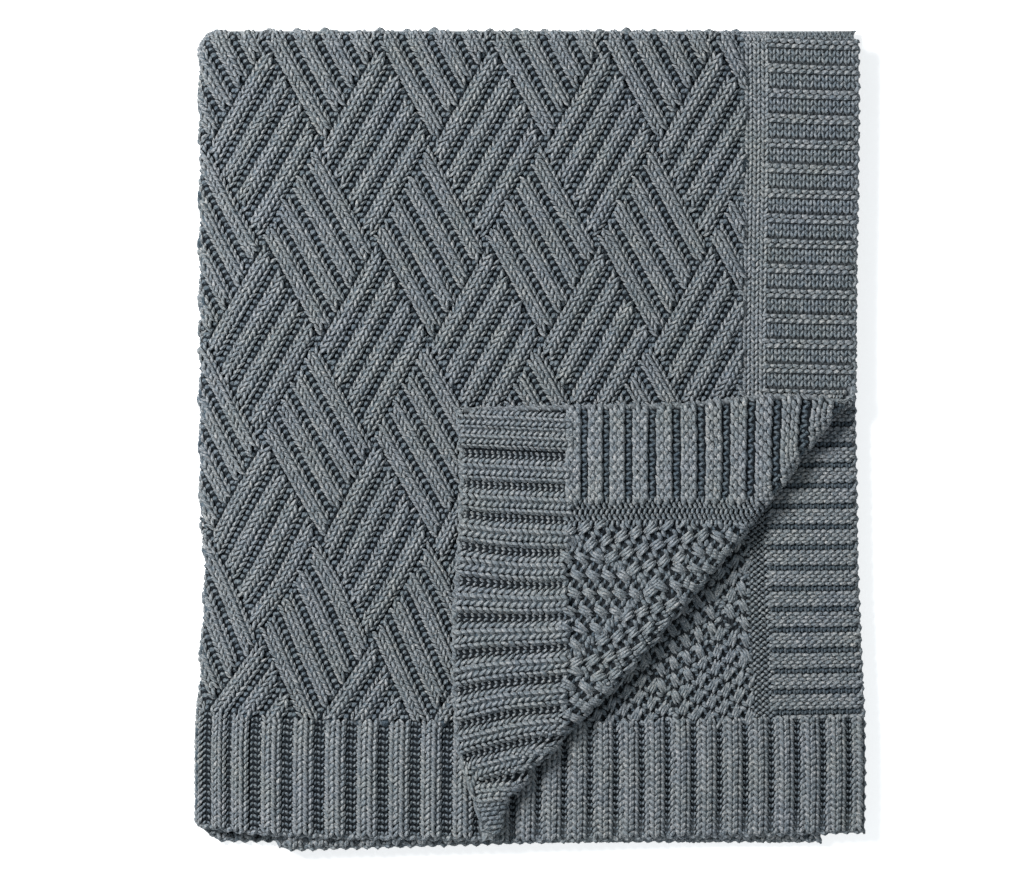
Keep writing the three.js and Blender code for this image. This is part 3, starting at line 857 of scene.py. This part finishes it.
def lower_hem_end(right, down):
    """End of the hem on one lower quarter: where it peeks out below the layer above."""
    knit, purl, stuffed = Stitches(), Stitches(), Stitches()
    crests = second_hem_crests() * right
    hem_ribs(knit, purl, stuffed, crests, SECOND, down, HEM_END)

    def beside_second(s, t):
        return ~on_second(s, t)

    return [rows.keep(beside_second) for rows in (knit, purl, stuffed)]


EDGE_STITCH = 5.8
HEM_EDGE = 4.6  # width of the edge's stitches along the hems and down the sides
SIDE_EDGE_WIDTH = 3.8
EDGE_SLANT = 2.4  # every other stitch of the cast-off edge leans out, the next one in
EDGE_RISE = 0.8  # and lies above the next one
EDGE_REACH = 0.68  # half a stitch's length, of the step to the next
EDGE_INSET = 1.5
EDGE_TONE = 0.9


def cast_off(stitches, places, along, out, width):
    """A knobbly edge: short stout stitches that lean in and out in turn."""
    turn = np.where(np.arange(len(places)) % 2 == 0, 1, -1)[:, None]
    half = EDGE_REACH * EDGE_STITCH * along + turn * EDGE_SLANT * out
    stitches.add(places, half, EDGE_RISE * turn[:, 0], width, tone=EDGE_TONE)


def edge_chain():
    """Knobbly stitches round every free edge of the cloth."""
    stitches = Stitches()
    s, t = (np.arange(-half + EDGE_STITCH / 2, half, EDGE_STITCH) for half in (HALF_WIDTH, HALF_LENGTH))
    for end in (-1, 1):
        hem = column(end * (HALF_LENGTH - EDGE_INSET), s)[:, ::-1]
        cast_off(stitches, hem, ACROSS, end * UPWARD, HEM_EDGE)
        side = column(end * (HALF_WIDTH - EDGE_INSET), t)
        cast_off(stitches, side, UPWARD, end * ACROSS, SIDE_EDGE_WIDTH)
    return stitches


# Objects, what their meshes store, and nodes


def new_object(name, data):
    placed = bpy.data.objects.new(name, data)
    bpy.context.scene.collection.objects.link(placed)
    return placed


def store(mesh, name, values):
    """Stores a number or a direction for each point."""
    kind, key = ("FLOAT", "value") if values.ndim == 1 else ("FLOAT_VECTOR", "vector")
    mesh.attributes.new(name, kind, "POINT").data.foreach_set(key, values.astype(np.float32).ravel())


def store_map(mesh, name, places):
    """Stores a flat map: a place for each corner of each face."""
    mesh.uv_layers.new(name=name).data.foreach_set("uv", places.astype(np.float32).ravel())


def node_group(kind, name, inputs, outputs):
    """A tree with named inputs, some with a value of their own, and named outputs."""
    tree = bpy.data.node_groups.new(name, kind)
    for label, socket_kind, *value in inputs:
        socket = tree.interface.new_socket(label, in_out="INPUT", socket_type=socket_kind)
        if value:
            socket.default_value = value[0]
    for label, socket_kind in outputs:
        tree.interface.new_socket(label, in_out="OUTPUT", socket_type=socket_kind)
    return tree, tree.nodes.new("NodeGroupInput").outputs, tree.nodes.new("NodeGroupOutput").inputs


def new_node(tree, kind, inputs, **settings):
    """Adds a node with these settings, its inputs given values or linked, and returns its outputs."""
    node = tree.nodes.new(kind)
    for key, value in settings.items():
        setattr(node, key, value)
    for key, value in inputs.items():
        if isinstance(value, bpy.types.NodeSocket):
            tree.links.new(value, node.inputs[key])
        else:
            node.inputs[key].default_value = value
    return node.outputs


# Strands: unit shapes of yarn, one long and one wide, that the stitches repeat


STRAND_SIDES = 5
STRANDS = {  # rings of (x, sideways, height, radius)
    "leg": ((-0.5, 0, -0.5, 0.24), (-0.19, 0.03, 0.03, 0.5), (0.19, -0.03, 0.03, 0.5), (0.5, 0, -0.5, 0.24)),
    "bead": (
        (-0.5, -0.12, -0.4, 0.24), (-0.2, 0.03, 0.06, 0.5), (0.2, 0.03, 0.06, 0.5), (0.5, -0.12, -0.4, 0.24)
    ),
    "float": (
        (-0.5, 0, -0.5, 0.24), (-0.3, 0.04, -0.05, 0.47), (0, 0, 0.06, 0.52), (0.3, -0.04, -0.05, 0.47),
        (0.5, 0, -0.5, 0.24),
    ),
    "stuffing": ((-0.5, 0, -0.12, 0.36), (-0.25, 0, 0, 0.5), (0.25, 0, 0, 0.5), (0.5, 0, -0.12, 0.36)),
}


def strand(name, rings):
    """A short tapered strand of yarn along x, from its rings, with a map of its length and way round."""
    rings = np.array(rings)
    angle = math.pi / 2 + np.arange(STRAND_SIDES) * 2 * math.pi / STRAND_SIDES
    x = np.repeat(rings[:, 0:1], STRAND_SIDES, 1)
    y = rings[:, 1:2] + rings[:, 3:4] * np.cos(angle)
    z = rings[:, 2:3] + rings[:, 3:4] * np.sin(angle)
    points = np.stack([x, y, z], -1).reshape(-1, 3)
    faces = [list(range(STRAND_SIDES))]
    around = [[0.0] * STRAND_SIDES]
    length = [[0.0] * STRAND_SIDES]
    last = len(rings) - 1
    for k in range(last):
        for side in range(STRAND_SIDES):
            a = k * STRAND_SIDES + side
            b = k * STRAND_SIDES + (side + 1) % STRAND_SIDES
            faces.append([a, a + STRAND_SIDES, b + STRAND_SIDES, b])
            around.append([side, side, side + 1, side + 1])
            length.append([k, k + 1, k + 1, k])
    faces.append([last * STRAND_SIDES + side for side in reversed(range(STRAND_SIDES))])
    around.append([0.0] * STRAND_SIDES)
    length.append([last] * STRAND_SIDES)
    mesh = bpy.data.meshes.new(name)
    mesh.from_pydata(points.tolist(), [], faces)
    flat = np.column_stack([np.concatenate(length) / last, np.concatenate(around) / STRAND_SIDES])
    store_map(mesh, "plies", flat)
    return bpy.data.objects.new(name, mesh)


# Geometry Nodes: lays one strand at each place


STITCH_INPUTS = (
    ("Places", "NodeSocketGeometry"),
    ("Strand", "NodeSocketObject"),
    ("Yarn", "NodeSocketMaterial"),
    ("Askew", "NodeSocketFloat"),
    ("Uneven", "NodeSocketFloat"),
    ("Seed", "NodeSocketInt"),
)


def stitch_tree():
    """Lays a strand on each point, turned by the point's up and lie and scaled by its size, unevenly."""
    outputs = (("Knit", "NodeSocketGeometry"),)
    tree, given, put = node_group("GeometryNodeTree", "laid stitches", STITCH_INPUTS, outputs)

    def stored(name):
        kind = "GeometryNodeInputNamedAttribute"
        return new_node(tree, kind, {"Name": name}, data_type="FLOAT_VECTOR")["Attribute"]

    def between(low, high):
        limits = {"Min": low, "Max": high, "Seed": given["Seed"]}
        return new_node(tree, "FunctionNodeRandomValue", limits, data_type="FLOAT_VECTOR")["Value"]

    def vector(operation, a, b):
        return new_node(tree, "ShaderNodeVectorMath", {0: a, 1: b}, operation=operation)["Vector"]

    axes = {"Primary Axis": stored("up"), "Secondary Axis": stored("lie")}
    facing = new_node(tree, "FunctionNodeAxesToRotation", axes)["Rotation"]
    tilt = between(vector("SUBTRACT", (0, 0, 0), given["Askew"]), given["Askew"])
    askew = new_node(tree, "FunctionNodeEulerToRotation", {"Euler": tilt})["Rotation"]
    turns = {"Rotation": facing, "Rotate By": askew}
    turned = new_node(tree, "FunctionNodeRotateRotation", turns, rotation_space="LOCAL")["Rotation"]
    least = vector("SUBTRACT", (1, 1, 1), given["Uneven"])
    most = vector("ADD", (1, 1, 1), given["Uneven"])
    laid = new_node(tree, "GeometryNodeInstanceOnPoints", {
        "Points": given["Places"],
        "Instance": new_node(tree, "GeometryNodeObjectInfo", {"Object": given["Strand"]})["Geometry"],
        "Rotation": turned,
        "Scale": vector("MULTIPLY", stored("size"), between(least, most)),
    })["Instances"]
    rounded = new_node(tree, "GeometryNodeSetShadeSmooth", {"Geometry": laid})["Geometry"]
    plain = new_node(tree, "GeometryNodeRealizeInstances", {"Geometry": rounded})["Geometry"]
    finish = {"Geometry": plain, "Material": given["Yarn"]}
    tree.links.new(new_node(tree, "GeometryNodeSetMaterial", finish)["Geometry"], put["Knit"])
    return tree


TONE_DRIFT = 0.14  # how much paler or darker single stitches are
STRAND_DROP = 0.6  # how far a strand reaches below its middle, of its thickness
FLOOR_CLEAR = 1.6  # stitches are kept this far above the surface below
SIDE_FLATTENS = 0.5  # share of its height that the knit keeps where it is stretched round each fold
TOP_FLATTENS = 0.75
FLAT_ACROSS = 16  # how far from each fold that reaches
FLAT_DOWN = 14


def flattened(s, t):
    beside = mix(SIDE_FLATTENS, 1, smooth(np.abs(s) / FLAT_ACROSS))
    return beside * mix(TOP_FLATTENS, 1, smooth(np.abs(t) / FLAT_DOWN))


def stitch_points(name, rows, side):
    """One point for each stitch, with the way it faces, the way it lies, its size and its shade."""
    start, end = rows[:, 0:2], rows[:, 2:4]
    height, width, thick, tone = side * rows[:, 4], rows[:, 5], rows[:, 6], rows[:, 7]
    middle = (start + end) / 2
    height = height * flattened(*middle.T)
    first, last = (lifted(at[:, 0], at[:, 1], height) for at in (start, end))
    place = lifted(middle[:, 0], middle[:, 1], height) / 2 + (first + last) / 4
    lie = last - first
    up = side * right_side(middle[:, 0], middle[:, 1])
    lowest = place[:, 2] - np.abs(lie[:, 2]) / 2 - STRAND_DROP * width * thick
    place[:, 2] += np.maximum(0, FLOOR_CLEAR - lowest)
    size = np.column_stack([np.linalg.norm(lie, axis=1), width, width * thick])
    mesh = bpy.data.meshes.new(name)
    mesh.from_pydata((place * MM).tolist(), [], [])
    # shade: the stitch's tone, painted shade where it lies deep, times a random drift
    drift = np.random.default_rng(len(rows)).uniform(1 - TONE_DRIFT, 1 + TONE_DRIFT, len(rows))
    for key, values in (("up", up), ("lie", lie), ("size", size * MM), ("shade", tone * drift)):
        store(mesh, key, values)
    return mesh


ASKEW = math.radians(10)  # the most that a stitch is turned out of line
UNEVEN = 0.12  # and larger or smaller


def laid_stitches(name, stitches, shape, yarn, tree, seed, side=1):
    """Lays strands along the stitches and returns them as one plain mesh."""
    points = new_object(name + "_places", stitch_points(name + "_places", stitches.table(), side))
    modifier = points.modifiers.new("laid", "NODES")
    modifier.node_group = tree
    values = {"Strand": shape, "Yarn": yarn, "Askew": ASKEW, "Uneven": UNEVEN, "Seed": seed}
    for item in tree.interface.items_tree:
        if item.name in values:
            modifier[item.identifier] = values[item.name]
    ready = points.evaluated_get(bpy.context.evaluated_depsgraph_get())
    mesh = bpy.data.meshes.new_from_object(ready)
    points.modifiers.remove(modifier)
    bpy.data.objects.remove(points)
    for key in ("up", "lie", "size"):
        if key in mesh.attributes:
            mesh.attributes.remove(mesh.attributes[key])
    mesh.name = name
    return mesh


def joined(name, meshes):
    """One piece from several meshes."""
    objects = [new_object(name, mesh) for mesh in meshes]
    first = objects[0]
    if len(objects) > 1:
        with bpy.context.temp_override(active_object=first, selected_editable_objects=objects):
            bpy.ops.object.join()
    first.name = name
    first.data.name = name
    return first


# The cloth under the stitches


GROUND = 0.7  # half the thickness of the ground, so that the stitches stand clear of it
BORDER_SHADE = 0.85  # painted shade on the ground: behind the face's close border stitches it is less dark than in deep valleys, and a little so behind the floats of the back
BACK_SHADE = 0.95  # and a little so behind the floats of the back

# Lines of the ground's mesh: from, to and how many steps, closest where the cloth turns
ACROSS_STEPS = ((-HALF_WIDTH, -30, 20), (-30, 80, 24), (80, 230, 10), (230, HALF_WIDTH, 90))
DOWN_STEPS = ((-HALF_LENGTH, -12, 30), (-12, 12, 12), (12, 330, 20), (330, HALF_LENGTH, 90))


def grid_lines(steps):
    return np.unique(np.concatenate([np.linspace(low, high, count + 1) for low, high, count in steps]))


def stitch_shade(s, t):
    """How far the ground is coloured with painted shade of the stitches, first on its face and then on its
    back.
    """
    inside = inside_edges(s, t)
    hem_end_shows = (np.abs(t) > HALF_LENGTH - HEM_END) & ((s < 0) | (t < 0))
    face_shows = on_face(s, t) | hem_end_shows
    back_shows = on_flap(s, t) | on_second(s, t) | hem_end_shows
    above = np.abs(t) < HALF_LENGTH - FACE.hem
    border = np.where((np.abs(s) > FACE.field_edge) & above, BORDER_SHADE, 1)
    field = np.where((np.abs(s) < FACE.field_edge) & above, BACK_SHADE, 1)
    return np.concatenate([inside * face_shows * border, inside * back_shows * field])


def cloth_sheet():
    """The knitted ground as one closed sheet: its face, its back and a rim round the free edges."""
    across, down = grid_lines(ACROSS_STEPS), grid_lines(DOWN_STEPS)
    s, t = grid(across, down, "ij")
    face, back = (lifted(s, t, np.full(len(s), height)) for height in (GROUND, -GROUND))
    index = np.arange(len(s)).reshape(len(across), len(down))
    corners = (index[:-1, :-1], index[:-1, 1:], index[1:, 1:], index[1:, :-1])
    quads = np.stack([c.ravel() for c in corners], -1)
    loop = np.concatenate([index[0, :-1], index[:-1, -1], index[-1, :0:-1], index[:0:-1, 0]])
    ahead = np.roll(loop, -1)
    under = len(s)
    rim = np.stack([ahead, loop, loop + under, ahead + under], -1)
    faces = np.concatenate([quads, quads[:, ::-1] + under, rim])
    mesh = bpy.data.meshes.new("knit_ground")
    mesh.from_pydata((np.concatenate([face, back]) * MM).tolist(), [], faces.tolist())
    places = np.tile(np.column_stack([s, t]), (2, 1)) * MM
    store_map(mesh, "knit", places[faces.ravel()])
    # painted shade of the stitches on the ground
    store(mesh, "painted_stitch_shade", stitch_shade(s, t))
    mesh.shade_smooth()
    return new_object("knit_ground", mesh)


# Finishes


def math_node(tree, operation, *values, clamp=False):
    inputs = dict(enumerate(values))
    return new_node(tree, "ShaderNodeMath", inputs, operation=operation, use_clamp=clamp)[0]


def noise_node(tree, place, scale, detail):
    inputs = {"Vector": place, "Scale": scale, "Detail": detail}
    return new_node(tree, "ShaderNodeTexNoise", inputs)["Fac"]


def mixed_colour(tree, share, first, second, blend="MIX"):
    inputs = {"Factor": share, "A": first, "B": second}
    return new_node(tree, "ShaderNodeMix", inputs, data_type="RGBA", blend_type=blend)["Result"]


def bump_node(tree, height, strength, distance, **over):
    inputs = {"Height": height, "Strength": strength, "Distance": distance, **over}
    return new_node(tree, "ShaderNodeBump", inputs)["Normal"]


def map_places(tree, name):
    """The two directions of a piece's own flat map."""
    place = new_node(tree, "ShaderNodeUVMap", {}, uv_map=name)["UV"]
    split = new_node(tree, "ShaderNodeSeparateXYZ", {"Vector": place})
    return split["X"], split["Y"]


PLY_ROUND = 0.6  # power on the wave across a ply: under 1 it is rounder, with narrower clefts


def plies_group():
    """Twisted plies of the yarn: round strands with dark clefts between them."""
    inputs = (("Plies", "NodeSocketFloat", 3.0), ("Turns", "NodeSocketFloat", 1.6))
    outputs = (("Height", "NodeSocketFloat"),)
    tree, given, put = node_group("ShaderNodeTree", "twisted plies", inputs, outputs)
    along, around = map_places(tree, "plies")
    counted = math_node(tree, "MULTIPLY", around, given["Plies"])
    twist = math_node(tree, "MULTIPLY_ADD", along, given["Turns"], counted)
    ply = math_node(tree, "FRACT", twist)
    wave = math_node(tree, "SINE", math_node(tree, "MULTIPLY", ply, math.pi))
    tree.links.new(math_node(tree, "POWER", wave, PLY_ROUND), put["Height"])
    return tree


FIBRE_DETAIL, PATCH_DETAIL = 3.0, 2.0


def fibres_group():
    """Loose fibres on the yarn: fine height and a patchy shade, in the object's own coordinates."""
    inputs = (("Fibre Scale", "NodeSocketFloat", 620.0), ("Patch Scale", "NodeSocketFloat", 26.0))
    outputs = (("Height", "NodeSocketFloat"), ("Shade", "NodeSocketFloat"))
    tree, given, put = node_group("ShaderNodeTree", "loose fibres", inputs, outputs)
    place = new_node(tree, "ShaderNodeTexCoord", {})["Object"]
    tree.links.new(noise_node(tree, place, given["Fibre Scale"], FIBRE_DETAIL), put["Height"])
    tree.links.new(noise_node(tree, place, given["Patch Scale"], PATCH_DETAIL), put["Shade"])
    return tree


COOL_DARKS = (1.22, 1.0, 0.85)  # powers on red, green and blue: yarn darkened by its painted shade and its speckle turns bluer
CAST_DRIFT = (2.4, -0.7)  # factor and shift, from the patches to the yarn's cast
SPECKLE = (2.6, -0.3)  # factor and shift, from the fibres to light and dark
LEAST_LIGHT = 0.02


def heather_group():
    """Slate grey yarn that drifts a little between a blue and a green cast, darker and bluer in painted
    shade.
    """
    inputs = (
        ("Blue Grey", "NodeSocketColor", (0.202, 0.222, 0.243, 1)),
        ("Green Grey", "NodeSocketColor", (0.208, 0.227, 0.231, 1)),
        # Stitch: the stitch's painted shade, times its random drift in tone
        ("Stitch", "NodeSocketFloat", 1.0),
        ("Patch", "NodeSocketFloat", 0.5),
        ("Fibre", "NodeSocketFloat", 0.5),
    )
    outputs = (("Color", "NodeSocketColor"),)
    tree, given, put = node_group("ShaderNodeTree", "heather", inputs, outputs)
    drift = math_node(tree, "MULTIPLY_ADD", given["Patch"], *CAST_DRIFT, clamp=True)
    cast = mixed_colour(tree, drift, given["Blue Grey"], given["Green Grey"])
    speckle = math_node(tree, "MULTIPLY_ADD", given["Fibre"], *SPECKLE)
    light = math_node(tree, "MAXIMUM", math_node(tree, "MULTIPLY", given["Stitch"], speckle), LEAST_LIGHT)
    powers = {k: math_node(tree, "POWER", light, power) for k, power in enumerate(COOL_DARKS)}
    shade = new_node(tree, "ShaderNodeCombineColor", powers)["Color"]
    tree.links.new(mixed_colour(tree, 1, cast, shade, "MULTIPLY"), put["Color"])
    return tree


WOOL = {"Roughness": 0.9, "Specular IOR Level": 0.1, "Sheen Weight": 0.08, "Sheen Roughness": 0.5}
FLOOR = {
    "Base Color": (0.86, 0.86, 0.86, 1),
    "Roughness": 0.8,
    "Specular IOR Level": 0.1,
    "Emission Color": (1, 1, 1, 1),
    "Emission Strength": 0.6,
}


def new_material(name, finish):
    """A material with a finish that is the same all over, set on its shader."""
    material = bpy.data.materials.new(name)
    material.use_nodes = True
    shader = material.node_tree.nodes["Principled BSDF"].inputs
    for socket, value in finish.items():
        shader[socket].default_value = value
    return material, material.node_tree, shader


def placed_group(tree, group, **inputs):
    return new_node(tree, "ShaderNodeGroup", inputs, node_tree=group)


def stored_number(tree, name):
    return new_node(tree, "ShaderNodeAttribute", {}, attribute_name=name)["Fac"]


BEHIND_STITCHES = (0.006, 0.0085, 0.0115, 1)  # painted shade: colour of the yarn deep in the stitches' shade

# Bumps: strength and depth
PLY_BUMP = (1.0, 1.0 * MM)
FIBRE_BUMP = (0.8, 0.9 * MM)
STITCH_BUMP = (0.9, 1.2 * MM)
GROUND_FIBRE_BUMP = (0.5, 0.4 * MM)

LEG_SLANT = 0.7  # rise of a plain stitch's leg for each step across
LEG_DEPTH = 0.4  # of the clefts between legs, as a share of those between wales


def yarn_material(groups):
    """Matte slate grey plied yarn."""
    material, tree, shader = new_material("slate yarn", WOOL)
    fibres = placed_group(tree, groups["fibres"])
    plies = placed_group(tree, groups["plies"])
    # each stitch's painted shade, times its random drift in tone
    shade = stored_number(tree, "shade")
    heather = placed_group(
        tree, groups["heather"], Stitch=shade, Patch=fibres["Shade"], Fibre=fibres["Height"]
    )
    tree.links.new(heather["Color"], shader["Base Color"])
    twisted = bump_node(tree, plies["Height"], *PLY_BUMP)
    tree.links.new(bump_node(tree, fibres["Height"], *FIBRE_BUMP, Normal=twisted), shader["Normal"])
    return material


def ground_material(groups):
    """The same yarn, with painted shade where it lies behind the stitches, or plain on hidden sides."""
    material, tree, shader = new_material("knit ground", WOOL)
    fibres = placed_group(tree, groups["fibres"])
    heather = placed_group(tree, groups["heather"], Patch=fibres["Shade"])
    behind = mixed_colour(tree, stored_number(tree, "painted_stitch_shade"), heather["Color"], BEHIND_STITCHES)
    tree.links.new(behind, shader["Base Color"])
    across, down = map_places(tree, "knit")
    leg = math_node(tree, "PINGPONG", across, WALE * MM / 2)
    slant = math_node(tree, "MULTIPLY_ADD", leg, LEG_SLANT, down)
    stitch = math_node(tree, "SINE", math_node(tree, "MULTIPLY", slant, 2 * math.pi / (ROW * MM)))
    wale = math_node(tree, "SINE", math_node(tree, "MULTIPLY", leg, 2 * math.pi / (WALE * MM)))
    height = math_node(tree, "MULTIPLY_ADD", stitch, LEG_DEPTH, wale)
    knitted = bump_node(tree, height, *STITCH_BUMP)
    tree.links.new(bump_node(tree, fibres["Height"], *GROUND_FIBRE_BUMP, Normal=knitted), shader["Normal"])
    return material


# Studio


PHOTO_WIDTH = 0.969  # metres across the picture at the height of the throw's top
VIEW_CENTRE = Vector((-0.0209, 0.0005, 0.03))
LENS = 200
SENSOR = 36
SEES_AS_FAR_AS = 50
FLOOR_HALF = 6


def studio_camera():
    """A long lens straight above the throw."""
    data = bpy.data.cameras.new("camera")
    data.lens = LENS
    data.sensor_width = SENSOR
    data.clip_end = SEES_AS_FAR_AS
    camera = new_object("camera", data)
    camera.location = VIEW_CENTRE + Vector((0, 0, PHOTO_WIDTH * LENS / SENSOR))
    bpy.context.scene.camera = camera


def studio_floor():
    """A wide pale floor that glows a little, so that shadows on it stay soft."""
    half = FLOOR_HALF
    corners = [(-half, -half, 0), (half, -half, 0), (half, half, 0), (-half, half, 0)]
    mesh = bpy.data.meshes.new("floor")
    mesh.from_pydata(corners, [], [(0, 1, 2, 3)])
    mesh.materials.append(new_material("pale floor", FLOOR)[0])
    new_object("floor", mesh)


def area_light(name, place, size, energy):
    data = bpy.data.lights.new(name, "AREA")
    data.size = size
    data.energy = energy
    light = new_object(name, data)
    light.location = place
    light.rotation_euler = (-Vector(place)).to_track_quat("-Z", "Y").to_euler()


def studio_light():
    """A large soft light from the upper left, a weaker one opposite and a pale surround."""
    area_light("key light", place=(-1.95, 1.15, 2.2), size=1.1, energy=165)
    area_light("fill light", place=(1.6, -1.2, 2.2), size=2.0, energy=15)
    world = bpy.data.worlds.new("surround")
    world.use_nodes = True
    background = world.node_tree.nodes["Background"].inputs
    background["Color"].default_value = (0.86, 1, 1.1, 1)
    background["Strength"].default_value = 0.27
    bpy.context.scene.world = world
    bpy.context.scene.view_settings.view_transform = "Standard"


# Making


SET_SHAPES = ("leg", "leg", "stuffing", "bead", "float")  # of the sets of stitches on a face


def knit_throw():
    """The throw: its ground and the pieces of knit on it."""
    groups = {"plies": plies_group(), "fibres": fibres_group(), "heather": heather_group()}
    yarn = yarn_material(groups)
    shapes = {name: strand(name, rings) for name, rings in STRANDS.items()}
    tree = stitch_tree()
    ground = cloth_sheet()
    ground.data.materials.append(ground_material(groups))

    seeds = itertools.count(1)

    def lay(name, stitches, shape, side=1):
        return laid_stitches(name, stitches, shapes[shape], yarn, tree, next(seeds), side)

    def laid(name, sets, side=1):
        return [lay(name, rows, shape, side) for rows, shape in zip(sets, SET_SHAPES)]

    second_welts = crest_lines(*SECOND_WELTS, -HALF_LENGTH, 0)
    flap = back_faces(1, flap_hem_crests(), flap_welt_crests(), FLAP, on_flap)
    tip(flap[0], flap[3])
    second = back_faces(-1, second_hem_crests(), second_welts, SECOND, on_second)
    pieces = []
    for name, right in (("ribs_leaning_right", True), ("ribs_leaning_left", False)):
        ribs, stuffed = lattice_ribs(right)
        pieces.append(joined(name, [lay(name, ribs, "leg"), lay(name, stuffed, "stuffing")]))
    pieces += [
        joined("valley_beads", [lay("beads", valley_beads(), "bead")]),
        joined("hem_and_border", laid("face", face_edges())),
        joined("turned_corner", laid("flap", flap, -1)),
        joined("second_layer", laid("second", second, -1)),
        joined("lower_hems", [
            mesh
            for right, down, side in ((1, -1, -1), (-1, -1, 1), (-1, 1, -1))
            for mesh in laid("hem_end", lower_hem_end(right, down), side)
        ]),
        joined("edge_chain", [lay("edges", edge_chain(), "leg")]),
    ]
    for piece in [ground, *pieces]:
        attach(piece, "root")
    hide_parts("knit_throw")


knit_throw()
studio_camera()
studio_floor()
studio_light()
